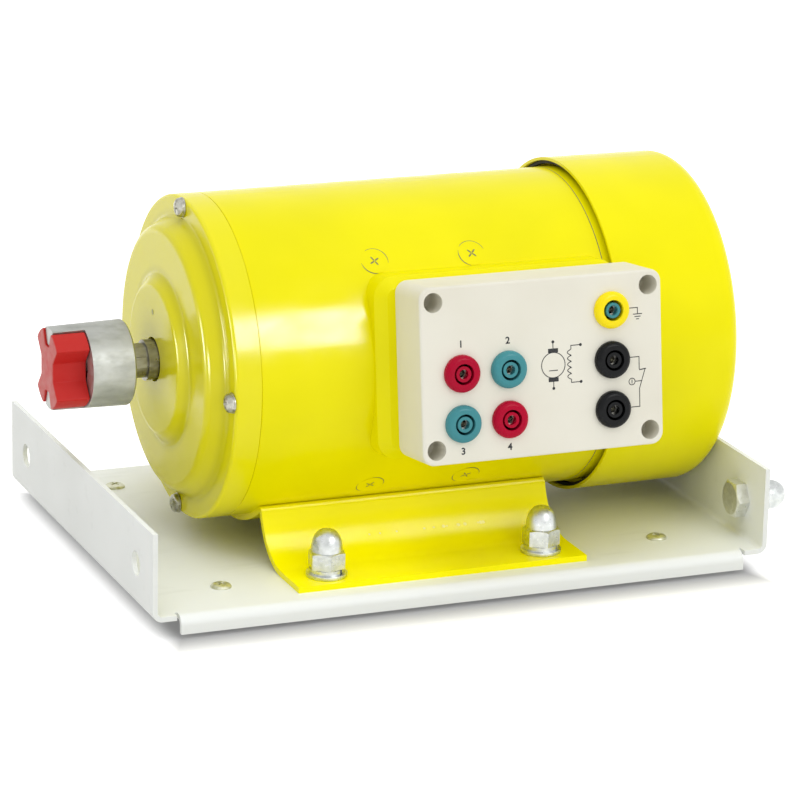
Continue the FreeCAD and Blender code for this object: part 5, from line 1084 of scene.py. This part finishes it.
@dataclass
class HexFasteners:
    """Hexagon heads, domed nuts and split lock washers of the bracket and the linking holes."""

    flats: float = 16.0
    head_height: float = 6.4
    nut_hex: float = 8.4
    dome_radius: float = 7.55
    dome_height: float = 10.6
    # A head's nearly flat face is a very low dome.
    face_radius: float = 6.9
    face_height: float = 0.02
    nut_shank: float = 0.5
    link_flats: float = 17.0
    split_turn: float = 349.0
    bolt_x: Pair = (-64.0, 48.0)
    bolt_y: float = 89.0
    nut_seat: float = 18.2
    washer_seat: float = 16.0
    link_y: float = 88.0
    link_z: float = 30.0
    link_head_x: float = 157.1
    link_nut_x: float = 161.6
    # Turns of the hexagons and of the lock washers' splits, in degrees, and the step from bolt to bolt.
    nut_turn: float = 22.0
    cap_turn: float = 30.0
    under_turn: float = 10.0
    split_at: float = 130.0
    turn_step: float = 7.0

    def recipe(self) -> Recipe:
        """Tree of a chamfered hexagon, with a dome on it and a shank under it where they are wanted."""
        tree = Recipe("hexagon_fastener", {
            "Flats": self.flats, "Hexagon height": self.head_height, "Dome radius": self.dome_radius,
            "Dome height": self.dome_height, "Fullness": 2.45, "Shank radius": 5.0, "Shank length": 12.0})
        hexagon = tree.hexagon(tree.size("Flats"), tree.size("Hexagon height"))
        dome = tree.lifted(tree.domed(tree.size("Dome radius"), tree.size("Dome height"),
                                      tree.size("Fullness")), tree.size("Hexagon height"))
        tree.close([hexagon, dome, tree.shank(tree.size("Shank radius"), tree.size("Shank length"))])
        return tree

    def ring_recipe(self) -> Recipe:
        """Tree of a split lock washer: a square section swept round a turn that stops short of closing."""
        tree = Recipe("split_washer", {"Mean radius": 6.9, "Section": 3.2, "Thickness": 2.1})
        arc = add_node(tree.tree, "GeometryNodeCurveArc", {"mode": "RADIUS"},
                       {"Resolution": 60, "Sweep Angle": math.radians(self.split_turn)},
                       {"Radius": tree.size("Mean radius")})
        section = add_node(tree.tree, "GeometryNodeCurvePrimitiveQuadrilateral",
                           links={"Width": tree.size("Section"), "Height": tree.size("Thickness")})
        swept = add_node(tree.tree, "GeometryNodeCurveToMesh", values={"Fill Caps": True},
                         links={"Curve": arc.outputs["Curve"], "Profile Curve": section.outputs[0]})
        half = add_node(tree.tree, MATH, {"operation": "MULTIPLY"}, {1: 0.5},
                        {0: tree.size("Thickness")})
        tree.close([tree.lifted(swept.outputs[0], half.outputs[0])])
        return tree

    def bracket_seats(self, height: float, way: float, turn: float) -> list[Seat]:
        """Four seats at the bracket's bolts."""
        return [Seat(DATUM.at(x, y, height), Vector((0.0, 0.0, way)), turn + self.turn_step * i)
                for i, (x, y) in enumerate((x, y) for y in (-self.bolt_y, self.bolt_y) for x in self.bolt_x)]

    def link_seats(self, x: float, way: float, turn: float) -> list[Seat]:
        """Two seats at the right flange's linking holes."""
        return [Seat(DATUM.at(x, y, self.link_z), Vector((way, 0.0, 0.0)), turn)
                for y in (-self.link_y, self.link_y)]

    def build(self) -> None:
        """Make the nuts, the heads and the lock washers."""
        tree = self.recipe()
        nut = {"Hexagon height": self.nut_hex, "Shank length": self.nut_shank}
        head = {"Dome radius": self.face_radius, "Dome height": self.face_height}
        tree.fit("acorn_nuts", self.bracket_seats(self.nut_seat, 1.0, self.nut_turn), nut, Paint.ZINC, "zinc",
                 "domed_nuts")
        tree.fit("link_caps", self.link_seats(self.link_nut_x, 1.0, self.cap_turn), nut, Paint.ZINC, "zinc",
                 "link_nuts")
        tree.fit("link_heads", self.link_seats(self.link_head_x, -1.0, 0.0),
                 {"Flats": self.link_flats, **head, "Shank length": 16.0}, Paint.MATT_ZINC, "zinc",
                 "link_bolts")
        tree.fit("bracket_heads", self.bracket_seats(DATUM.plate_bottom, -1.0, self.under_turn),
                 {**head, "Shank length": 21.0}, Paint.ZINC, "zinc", "bracket_bolts")
        self.ring_recipe().fit("split_washers", self.bracket_seats(self.washer_seat, 1.0, self.split_at),
                               {}, Paint.ZINC, "zinc", "lock_washers")


@dataclass
class EarthSocket:
    """Earth socket: a yellow collar and body round a teal sleeve."""

    x: float = 70.1
    z: float = 23.4
    collar: float = 9.0
    collar_height: float = 3.6
    shoulder: float = 2.4
    edge: float = 0.3
    groove: float = 5.0
    groove_floor: float = -10.0
    sleeve: float = 3.8
    sleeve_drop: float = 0.6
    slack: float = 0.02
    mouth: float = 2.3
    mouth_floor: float = -1.0
    inner: float = 2.9
    bore: float = 2.92
    body: float = 6.2
    tail: float = -19.0
    facets: int = 64

    def collar_profile(self) -> Profile:
        """Section of the collar from the back of its body to the floor of its groove."""
        top, low, edge = self.collar_height, self.collar_height - self.shoulder, self.edge
        round_x = self.collar - self.shoulder
        shoulder = [(round_x + self.shoulder * math.cos(a), low + self.shoulder * math.sin(a))
                    for a in (math.radians(15.0 * i) for i in range(7))]
        back = [(self.bore, self.tail), (self.body, self.tail), (self.body, 0.02),
                (self.collar - edge, 0.02), (self.collar, edge)]
        groove = [(self.groove + edge, top), (self.groove, top - edge), (self.groove, self.groove_floor),
                  (self.sleeve, self.groove_floor), (self.sleeve, self.tail + 1.0),
                  (self.bore, self.tail + 1.0), (self.bore, self.tail)]
        return back + shoulder + groove

    def sleeve_profile(self) -> Profile:
        """Section of the sleeve, closed on itself."""
        top, outer, edge = self.collar_height - self.sleeve_drop, self.sleeve - self.slack, self.edge
        foot = self.groove_floor + 0.1
        return [(outer, foot), (outer, top - edge), (self.sleeve - edge, top), (self.mouth + edge, top),
                (self.mouth, top - 0.35), (self.mouth, self.mouth_floor),
                (self.inner, self.mouth_floor - 0.2), (self.inner, foot), (outer, foot)]

    def build(self) -> None:
        """Make the two parts of the socket."""
        place = PANEL.matrix(self.x, self.z, PANEL.face_depth)
        for name, profile, paint, stands_for in (
                ("earth_collar", self.collar_profile(), Paint.YELLOW, ("earth_socket",)),
                ("earth_sleeve", self.sleeve_profile(), Paint.TEAL, ())):
            enter(name, turned_mesh(name, profile, place, self.facets), paint, stands_for)


@dataclass
class PanelSigns:
    """Screen-printed circuit signs and plain socket numbers on the lid."""

    lift: float = 0.03
    line: float = 0.42
    digit: float = 4.6
    fattened: float = 0.13
    dot_radius: float = 0.75
    numbers: tuple[tuple[str, float, float], ...] = (
        ("1", -42.0, 14.6), ("2", -18.0, 14.4), ("3", -42.0, -36.6), ("4", -18.0, -36.6))
    armature: Triple = (5.3, 0.5, 6.1)
    minus: Pair = (2.3, -2.6)
    brush_half: float = 2.6
    brush_line: float = 2.0
    # Distances from the armature's middle: the brush, then where its lead starts, ends and has its dot.
    brush_z: float = 7.0
    lead: Triple = (8.0, 10.8, 11.2)
    coil: Pair = (14.6, 7.4)
    hump_half: float = 1.9
    hump_rise: float = 2.9
    humps: int = 5
    coil_lead_x: float = 19.4
    coil_lead_z: Pair = (9.2, -8.6)
    contact_circle: Triple = (46.3, -11.0, 1.6)
    # Width and points of each line of the earth sign: its lead, then its three bars.
    earth: tuple[tuple[float, tuple[Pair, ...]], ...] = (
        (0.42, ((45.2, 24.6), (49.8, 24.6), (49.8, 21.6))),
        (0.45, ((47.4, 21.5), (52.2, 21.5))),
        (0.45, ((48.2, 20.3), (51.4, 20.3))),
        (0.45, ((49.0, 19.1), (50.6, 19.1))))
    # The same for the thermal contact: its two leads, its step, and the stroke and stem of its bulb.
    thermal: tuple[tuple[float, tuple[Pair, ...]], ...] = (
        (0.42, ((45.2, 0.8), (50.2, 0.8), (50.2, -5.4))),
        (0.42, ((45.2, -23.4), (50.2, -23.4), (50.2, -14.6), (53.2, -5.6))),
        (0.5, ((50.2, -5.6), (53.8, -5.2))),
        (0.42, ((46.3, -12.0), (46.3, -10.0))),
        (0.42, ((47.9, -11.0), (51.4, -11.0))))

    def stroke(self, shape: Shape, points: Sequence[Pair], width: float) -> None:
        """Add a flat line of a width along points, mitred at its corners."""
        path = [Vector(p) for p in points]
        sides = []
        for i, spot in enumerate(path):
            before = (spot - path[i - 1]).normalized() if i else (path[1] - spot).normalized()
            after = (path[i + 1] - spot).normalized() if i + 1 < len(path) else before
            mean = (before + after).normalized()
            across = Vector((-mean.y, mean.x)) * (width / 2 / max(0.4, mean.dot(before)))
            sides.append([shape.verts.new((*(spot + across * s) * MM, 0.0)) for s in (1.0, -1.0)])
        for (a, b), (c, d) in zip(sides, sides[1:]):
            shape.faces.new((a, b, d, c))

    def ring(self, shape: Shape, x: float, z: float, radius: float) -> None:
        """Add a thin printed circle."""
        self.stroke(shape, [(x + radius * math.cos(a), z + radius * math.sin(a))
                            for a in (math.radians(7.5 * i) for i in range(49))], self.line)

    def dot(self, shape: Shape, x: float, z: float) -> None:
        """Add a filled dot."""
        rim = [shape.verts.new(((x + self.dot_radius * math.cos(a)) * MM,
                                (z + self.dot_radius * math.sin(a)) * MM, 0.0))
               for a in (math.radians(22.5 * i) for i in range(16))]
        shape.faces.new(rim)

    def machine(self, shape: Shape) -> None:
        """Armature circle with its two brushes and leads, and the series field coil beside it."""
        x, z, radius = self.armature
        self.ring(shape, x, z, radius)
        half, drop = self.minus
        self.stroke(shape, [(x - half, z + drop), (x + half, z + drop)], self.line)
        near, far, end = self.lead
        for way in (1.0, -1.0):
            self.stroke(shape, [(x - self.brush_half, z + self.brush_z * way),
                                (x + self.brush_half, z + self.brush_z * way)], self.brush_line)
            self.stroke(shape, [(x, z + near * way), (x, z + far * way)], self.line)
            self.dot(shape, x, z + end * way)
        coil_x, coil_top = self.coil
        high, low = self.coil_lead_z
        self.stroke(shape, [(self.coil_lead_x, high), (coil_x, high), (coil_x, coil_top + 0.1)], self.line)
        self.stroke(shape, [(coil_x - self.hump_half * math.sin(math.radians(15.0 * i)),
                             coil_top - self.hump_rise * k - self.hump_rise * i / 12.0)
                            for k in range(self.humps) for i in range(13)], self.line)
        self.stroke(shape, [(coil_x, -7.2), (coil_x, low), (self.coil_lead_x, low)], self.line)
        for height in self.coil_lead_z:
            self.dot(shape, self.coil_lead_x + 0.2, height)

    def digits(self) -> list[Mesh]:
        """Plain numerals as flat meshes centred on their places, in the panel's local frame."""
        meshes = []
        for text, x, z in self.numbers:
            curve = bpy.data.curves.new("number", "FONT")
            curve.body = text
            curve.size = self.digit * MM
            curve.align_x = "CENTER"
            curve.offset = self.fattened * MM
            mesh = evaluated_mesh(bpy.data.objects.new("number", curve))
            mesh.transform(Matrix.Translation((x * MM, (z - self.digit / 3) * MM, 0.0)))
            bpy.data.curves.remove(curve)
            meshes.append(mesh)
        return meshes

    def build(self) -> None:
        """Print everything just proud of the lid."""
        shape = bmesh.new()
        self.machine(shape)
        for width, points in self.earth + self.thermal:
            self.stroke(shape, points, width)
        self.ring(shape, *self.contact_circle)
        for mesh in self.digits():
            shape.from_mesh(mesh)
            bpy.data.meshes.remove(mesh)
        place = PANEL.matrix(PANEL.centre_x, PANEL.centre_z, PANEL.face_depth + self.lift)
        bmesh.ops.transform(shape, matrix=place, verts=shape.verts)
        shape.normal_update()
        inward = [face for face in shape.faces if face.normal.dot(PANEL.normal()) < 0.0]
        enter("panel_signs", flat_mesh("panel_signs", shape, inward), Paint.INK)


@dataclass
class PaintMarks:
    """Marks on the paint: painted shade round and in the pole screws, drips with a painted highlight, a punch
    mark with painted shade, and painted shade at the rear cover's joint.
    """

    pole_x: Pair = (-29.25, 21.25)
    pole_angles: tuple[float, ...] = (45.0, 135.0, 225.0, 315.0)
    # Painted shade: dark broken rings round the pole screws' heads and a dark cross for each recess.
    ring_radius: float = 6.9
    ring_width: float = 0.42
    ring_steps: int = 16
    # Each ring breaks into arcs: lowest and highest start, then lowest and highest sweep, in degrees.
    arcs: tuple[tuple[float, float, float, float], ...] = ((-20, 20, 95, 150), (160, 200, 80, 120))
    shade_seed: int = 21
    # Radius and half width along each of the four wings of the dark cross painted as a recess's shade.
    wing: tuple[Pair, ...] = ((0.25, 0.25), (1.3, 0.42), (2.3, 0.36), (2.8, 0.12))
    lift: float = 0.04
    hollow_ends: Pair = (-32.0, 34.0)
    hollow_y: float = -58.83
    hollow_z: float = 21.2
    hollow_lean: float = 42.0
    bead_sunk: float = 0.1
    bead_height: float = 0.36
    bead_seed: int = 5
    # Name, radius and number of the beads of each size; their pale colour is a painted highlight.
    beads: tuple[tuple[str, float, int], ...] = (("highlight_beads", 0.95, 6), ("highlight_specks", 0.55, 9))
    punch_place: Triple = (-121.8, 0.5, 125.7)
    punch: tuple[Pair, ...] = ((1.5, -0.05), (1.2, 0.14), (0.95, 0.16), (0.4, 0.04), (0.0, 0.02))
    joint: tuple[Pair, ...] = ((79.2, -0.28), (79.55, -0.2), (79.55, 0.2), (79.2, 0.28), (79.2, -0.28))
    # Painted shade: the rear joint's dark line, and the black ring inside the cover's edge.
    strip_x: float = 92.6
    strip: tuple[Pair, ...] = ((81.0, 0.0), (82.6, 0.0), (82.6, 2.5), (81.0, 2.5), (81.0, 0.0))

    def on_tube(self, x: float, angle: float, along: float, round_by: float) -> Vector:
        """Point just proud of the tube, by millimetres along and round it from a screw's centre."""
        radius = DATUM.tube_radius + self.lift
        return DATUM.polar(x + along, radius, angle + math.degrees(round_by / DATUM.tube_radius))

    def band(self, shape: Shape, spots: Sequence[Triple], x: float, angle: float) -> None:
        """Add a ribbon through (along, round, half width) spots, tapering as they say."""
        rows = []
        for i, (u, v, half) in enumerate(spots):
            u0, v0, _ = spots[max(0, i - 1)]
            u1, v1, _ = spots[min(len(spots) - 1, i + 1)]
            long = math.hypot(u1 - u0, v1 - v0)
            nu, nv = -(v1 - v0) / long * half, (u1 - u0) / long * half
            rows.append([shape.verts.new(self.on_tube(x, angle, u + s * nu, v + s * nv))
                         for s in (1.0, -1.0)])
        for (a, b), (c, d) in zip(rows, rows[1:]):
            shape.faces.new((a, b, d, c))

    def crack(self, shape: Shape, x: float, angle: float, start: float, sweep: float) -> None:
        """Add one broken arc of painted shade round a screw's head, thinning out at both ends."""
        steps = self.ring_steps
        spots = []
        for i in range(steps + 1):
            turn = math.radians(start + sweep * i / steps)
            width = self.ring_width * (0.15 + 0.5 * math.sin(math.pi * i / steps))
            spots.append((self.ring_radius * math.cos(turn), self.ring_radius * math.sin(turn), width))
        self.band(shape, spots, x, angle)

    def pole_screw_shade(self) -> None:
        """Painted shade of the eight pole screws: broken dark rings round their heads and dark crosses for
        their recesses.
        """
        chance = random.Random(self.shade_seed)
        shape = bmesh.new()
        for x in self.pole_x:
            for angle in self.pole_angles:
                for soonest, latest, least, most in self.arcs:
                    start = chance.uniform(soonest, latest)
                    self.crack(shape, x, angle, start, chance.uniform(least, most))
                turn = chance.uniform(20.0, 70.0)
                for quarter in range(4):
                    a = math.radians(turn + 90.0 * quarter)
                    self.band(shape, [(r * math.cos(a), r * math.sin(a), w) for r, w in self.wing], x, angle)
        shape.normal_update()
        axis = DATUM.at(0.0, 0.0, DATUM.axis_height)
        across = Vector((0.0, 1.0, 1.0))
        inward = [face for face in shape.faces
                  if face.normal.dot((face.calc_center_median() - axis) * across) < 0.0]
        enter("pole_screw_shade", flat_mesh("pole_screw_shade", shape, inward), Paint.SHADE_LINES)

    def drips(self) -> None:
        """Beads of paint along the bracket's front hollow, in a pale colour that paints their highlight."""
        chance = random.Random(self.bead_seed)
        tree = Recipe("paint_bead", {"Radius": 0.9, "Height": 0.5, "Fullness": 2.0})
        tree.close([tree.domed(tree.size("Radius"), tree.size("Height"), tree.size("Fullness"))])
        lean = math.radians(self.hollow_lean)
        out = Vector((0.0, -math.sin(lean), math.cos(lean)))
        for name, radius, count in self.beads:
            seats = [Seat(DATUM.at(chance.uniform(*self.hollow_ends), self.hollow_y, self.hollow_z)
                          - out * self.bead_sunk * MM, out) for _ in range(count)]
            tree.fit(name, seats, {"Radius": radius, "Height": radius * self.bead_height}, Paint.BEAD_HIGHLIGHT,
                     "yellow_paint")

    def punch_mark(self) -> None:
        """Centre-punch mark on the end shield's nose, its rim slightly raised, coloured darker as painted
        shade.
        """
        place = Matrix.Translation(DATUM.at(*self.punch_place)) @ Matrix.Rotation(math.radians(-90.0), 4, "Y")
        shape = bmesh.new()
        lathe(shape, self.punch, place, 20)
        enter("punch_mark", from_bmesh("punch_mark", shape, 60.0), Paint.PUNCH_SHADE)

    def cover_joint(self) -> None:
        """Painted shade: a fine dark line where the rear end shield meets the tube, and a black ring inside
        the cover's edge where the gap under it is shaded.
        """
        turn = Matrix.Rotation(math.radians(90.0), 4, "Y")
        for name, x, profile, paint, slot in (
                ("joint_line", DATUM.tube_rear, self.joint, Paint.SHADE_LINES, "yellow_paint"),
                # The black ring is painted shade of the gap under the cover's edge, in the rubber finish.
                ("cover_gap_shade", self.strip_x, self.strip, Paint.RUBBER, "rubber")):
            place = Matrix.Translation(DATUM.at(x, 0.0, DATUM.axis_height)) @ turn
            enter(name, turned_mesh(name, profile, place, 128), paint)

    def build(self) -> None:
        """Make the marks."""
        self.cover_joint()
        self.pole_screw_shade()
        self.drips()
        self.punch_mark()


# ------------------------------------------------------------------------------------------------
# Studio
# ------------------------------------------------------------------------------------------------
def is_enamelled(piece: Piece) -> bool:
    """Whether a piece is sprayed yellow."""
    yellow = (Paint.CASING.value.name, Paint.SHADED_CASTING.value.name)
    return any(m and m.name in yellow for m in piece.data.materials)


def is_one_of(*names: str) -> Callable[[Piece], bool]:
    """Test for the pieces of these names."""
    return lambda piece: piece.name in names


@dataclass(frozen=True)
class Lamp:
    """Soft rectangular lamp, in metres and watts.

    Attributes:
        name: Name of the lamp.
        place: Middle of the lamp.
        aim: Point that it faces.
        size: Width and height.
        power: Watts.
        lit: Test for the only pieces that it lights, or None for all.
        colour: Its colour.
    """

    name: str
    place: Triple
    aim: Triple
    size: Pair
    power: float
    lit: Callable[[Piece], bool] | None = None
    colour: str = "#FFFFFF"

    def build(self) -> Piece:
        """Make the lamp, which no piece mirrors."""
        data = bpy.data.lights.new(self.name, "AREA")
        data.shape = "RECTANGLE"
        data.size, data.size_y = self.size
        data.energy = self.power
        data.color = linear(self.colour)[:3]
        lamp = bpy.data.objects.new(self.name, data)
        lamp.location = self.place
        lamp.rotation_euler = (Vector(self.aim) - Vector(self.place)).to_track_quat("-Z", "Y").to_euler()
        bpy.context.scene.collection.objects.link(lamp)
        if self.lit is not None:
            receivers = bpy.data.collections.new(self.name)
            for piece in bpy.context.scene.objects:
                if piece.type == "MESH" and self.lit(piece):
                    receivers.objects.link(piece)
            lamp.light_linking.receiver_collection = receivers
        self.show(lamp)
        return lamp

    def show(self, lamp: Piece) -> None:
        """Keep the lamp out of every mirror."""
        lamp.visible_glossy = False


@dataclass(frozen=True)
class Card(Lamp):
    """Bright card that is only mirrored.

    Attributes:
        hidden: Whether other pieces may stand before it.
    """

    hidden: bool = True

    def show(self, lamp: Piece) -> None:
        """Keep the card's light off the pieces, so that only their mirror of it is left."""
        lamp.visible_diffuse = False
        if not self.hidden:
            lamp.light_linking.blocker_collection = lamp.light_linking.receiver_collection


WINDOW_PLACE = (0.50, -1.37, 0.85)
WINDOW_AIM = (-0.07, -0.07, 0.13)
WINDOW_SIZE = (0.34, 0.62)
WINDOW_COLOUR = "#DCD6FF"
MIDDLE = (0.0, 0.0, 0.1)

# Soft lamps above, in front and on the left for the even light, two for the tray and the bracket, then the
# cards for the highlights.
LAMPS = (
    Lamp("overhead", (0.0, -0.4, 1.6), MIDDLE, (1.6, 1.3), 4.4),
    Lamp("softbox", (0.7, -1.7, 0.9), MIDDLE, (0.9, 0.9), 3.4),
    Lamp("left_fill", (-1.0, -0.9, 1.2), MIDDLE, (0.8, 0.8), 1.2),
    Lamp("under_fill", (-0.35, -0.4, 1.45), (-0.05, -0.05, 0.02), (0.8, 0.8), 5.6,
         is_one_of("tray", "saddle_bracket", "feet_screws"), "#E4EAFF"),
    Lamp("bracket_fill", (0.0, -1.5, 0.6), (0.0, -0.07, 0.04), (0.7, 0.7), 4.6,
         is_one_of("saddle_bracket", "highlight_beads", "highlight_specks")),
    Card("drum_card", WINDOW_PLACE, WINDOW_AIM, WINDOW_SIZE, 50.0,
         lambda piece: is_enamelled(piece) and not is_one_of(
             "saddle_bracket", "rear_cover", "front_end_shield")(piece), WINDOW_COLOUR),
    Card("rim_card", WINDOW_PLACE, WINDOW_AIM, WINDOW_SIZE, 19.0, is_one_of("front_end_shield"),
         WINDOW_COLOUR),
    Card("bracket_card", (0.42, -0.37, 1.13), (0.0, -0.06, 0.02), (0.7, 0.5), 16.0,
         is_one_of("saddle_bracket", "highlight_beads", "highlight_specks"), hidden=False),
    Card("step_card", (-1.09, -0.76, 0.18), (-0.11, -0.07, 0.12), (0.24, 0.3), 9.0,
         is_one_of("front_end_shield")),
    Card("nose_card", (-0.91, 0.10, 0.15), (-0.12, -0.04, 0.12), (0.2, 0.24), 4.8,
         is_one_of("front_end_shield")),
    Card("metal_card", (0.6, -1.4, 0.95), MIDDLE, (0.7, 0.7), 7.0, lambda piece: not is_enamelled(piece)),
)


def ray_is(tree: Tree, *kinds: str) -> Socket:
    """One where the ray is of any of these kinds, as Light Path names them, otherwise zero."""
    path = add_node(tree, "ShaderNodeLightPath")
    found = path.outputs[kinds[0]]
    for kind in kinds[1:]:
        found = add_node(tree, MATH, {"operation": "MAXIMUM"},
                         links={0: found, 1: path.outputs[kind]}).outputs[0]
    return found


@dataclass
class Studio:
    """Pale floor with a painted shadow, soft lights and the camera."""

    yaw: float = -22.37
    elevation: float = 16.69
    roll: float = 1.26
    lens: float = 179.6
    eye: Triple = (-719.9, -1770.3, 643.1)
    clip: Pair = (0.01, 100.0)
    sky_level: float = 0.74
    sky_slope: Triple = (0.14, 0.0, 0.2)
    floor_size: float = 30000.0
    # Painted shadow: glow of the floor beside the base and clear of it, for camera and mirror rays.
    shadow_glow: Pair = (0.16, 0.52)
    # Where the painted shadow starts to fade on each side of the base, and over what width.
    sides: tuple[tuple[str, float, float, float], ...] = (
        ("X", 1.0, 146.0, 14.0), ("X", -1.0, 144.0, 16.0), ("Y", 1.0, 110.0, 14.0), ("Y", -1.0, 110.5, 36.0))
    # The floor glows more from one distance to another, in metres, and by this much.
    horizon: Triple = (0.3, 1.2, 0.3)
    # Painted shadow: the paper's colour beside the base and clear of it; only camera and mirror rays see the
    # darker one.
    paper: tuple[str, str] = ("#8A8A8A", "#F0F0F0")

    def camera(self) -> None:
        """Camera from its eye point and three angles."""
        yaw, rise, roll = [math.radians(a) for a in (self.yaw, self.elevation, self.roll)]
        back = Vector((math.sin(yaw) * math.cos(rise), -math.cos(yaw) * math.cos(rise), math.sin(rise)))
        right = (-back).cross(Vector((0.0, 0.0, 1.0))).normalized()
        up = right.cross(-back)
        turned_right = right * math.cos(roll) + up * math.sin(roll)
        turned_up = up * math.cos(roll) - right * math.sin(roll)
        data = bpy.data.cameras.new("camera")
        data.lens = self.lens
        data.sensor_width = 36.0
        data.sensor_fit = "AUTO"
        data.clip_start, data.clip_end = self.clip
        camera = bpy.data.objects.new("camera", data)
        axes = Matrix((turned_right, turned_up, back)).transposed().to_4x4()
        camera.matrix_world = Matrix.Translation(DATUM.at(*self.eye)) @ axes
        bpy.context.scene.collection.objects.link(camera)
        bpy.context.scene.camera = camera

    def world(self) -> None:
        """White surroundings: full strength where seen or mirrored, weaker as light, most from above."""
        world = bpy.data.worlds.new("studio")
        world.use_nodes = True
        tree = world.node_tree
        tree.nodes.clear()
        shown = ray_is(tree, "Is Camera Ray", "Is Glossy Ray", "Is Transmission Ray")
        way = add_node(tree, "ShaderNodeTexCoord")
        slope = add_node(tree, VECTOR_MATH, {"operation": "DOT_PRODUCT"}, {1: self.sky_slope},
                         {0: way.outputs["Generated"]})
        level = add_node(tree, MATH, {"operation": "ADD"}, {1: self.sky_level}, {0: slope.outputs["Value"]})
        strength = add_node(tree, MAP_RANGE, values={"To Max": 1.0},
                            links={"Value": shown, "To Min": level.outputs[0]})
        back = add_node(tree, "ShaderNodeBackground", values={"Color": linear("#FFFFFF")},
                        links={"Strength": strength.outputs[0]})
        add_node(tree, "ShaderNodeOutputWorld", links={"Surface": back.outputs[0]})
        bpy.context.scene.world = world

    def out_of_painted_shadow(self, tree: Tree, middle: Node) -> Socket:
        """Mask of the painted shadow: nought beside the base, rising to one past the fade on each of its
        sides.
        """
        parts = add_node(tree, SPLIT, links={0: middle.outputs[0]})
        clear = None
        for axis, way, start, reach in self.sides:
            past = add_node(tree, MATH, {"operation": "MULTIPLY_ADD"}, {1: way, 2: -start * MM},
                            {0: parts.outputs[axis]})
            share = add_node(tree, MAP_RANGE, {"interpolation_type": "SMOOTHSTEP"},
                             {"From Min": 0.0, "From Max": reach * MM}, {"Value": past.outputs[0]})
            most = add_node(tree, MATH, {"operation": "MAXIMUM"}, {0: 0.0}, {1: share.outputs[0]})
            if clear is not None:
                tree.links.new(clear, most.inputs[0])
            clear = most.outputs[0]
        return clear

    def floor(self) -> None:
        """Wide white floor that keeps its real soft shadow, with a painted shadow round the base for camera
        and mirror rays: darker paper and less glow near it.
        """
        half = self.floor_size / 2 * MM
        mesh = bpy.data.meshes.new("floor")
        mesh.from_pydata([(-half, -half, 0.0), (half, -half, 0.0), (half, half, 0.0), (-half, half, 0.0)], [],
                         [(0, 1, 2, 3)])
        floor = bpy.data.objects.new("floor", mesh)
        bpy.context.scene.collection.objects.link(floor)
        material = bpy.data.materials.new("White paper floor, painted shadow")
        material.use_nodes = True
        tree = material.node_tree
        tree.nodes.clear()
        seen = ray_is(tree, "Is Camera Ray", "Is Glossy Ray")
        place = add_node(tree, "ShaderNodeTexCoord")
        middle = add_node(tree, VECTOR_MATH, {"operation": "SUBTRACT"}, {1: DATUM.at(0.0, 0.0, 0.0)},
                          {0: place.outputs["Object"]})
        clear = self.out_of_painted_shadow(tree, middle)
        near = add_node(tree, MAP_RANGE, values={"To Min": self.shadow_glow[0], "To Max": self.shadow_glow[1]},
                        links={"Value": clear})
        away = add_node(tree, VECTOR_MATH, {"operation": "LENGTH"}, links={0: middle.outputs[0]})
        far = add_node(tree, MAP_RANGE,
                       values=dict(zip(("From Min", "From Max", "To Max"), self.horizon)),
                       links={"Value": away.outputs["Value"]})
        glow = add_node(tree, MATH, {"operation": "ADD"}, links={0: near.outputs[0], 1: far.outputs[0]})
        lift = add_node(tree, MATH, {"operation": "MULTIPLY"}, links={0: seen, 1: glow.outputs[0]})
        unseen = add_node(tree, MATH, {"operation": "SUBTRACT"}, {0: 1.0}, {1: seen})
        pale = add_node(tree, MATH, {"operation": "MAXIMUM"}, links={0: clear, 1: unseen.outputs[0]})
        paper = add_node(tree, "ShaderNodeBsdfDiffuse")
        tint(tree, pale.outputs[0], list(zip((0.0, 1.0), self.paper)), paper.inputs["Color"])
        light = add_node(tree, "ShaderNodeEmission", values={"Color": linear("#FFFFFF")},
                         links={"Strength": lift.outputs[0]})
        both = add_node(tree, "ShaderNodeAddShader", links={0: paper.outputs[0], 1: light.outputs[0]})
        add_node(tree, "ShaderNodeOutputMaterial", links={"Surface": both.outputs[0]})
        mesh.materials.append(material)

    def build(self) -> None:
        """Set up the whole studio."""
        bpy.context.scene.view_settings.view_transform = "Standard"
        self.camera()
        self.world()
        for lamp in LAMPS:
            lamp.build()
        self.floor()
        LOG.info("studio ready")


def main() -> None:
    """Dress the solids, build the pieces and set up the studio."""
    logging.basicConfig(level=logging.INFO, format="%(name)s: %(message)s")
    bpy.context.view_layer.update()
    dress_solids()
    for maker in (*EASED, CrossHeadScrews(), HexFasteners(), EarthSocket(), PanelSigns(), PaintMarks(),
                  Studio()):
        maker.build()


if __name__ == "__main__":
    main()
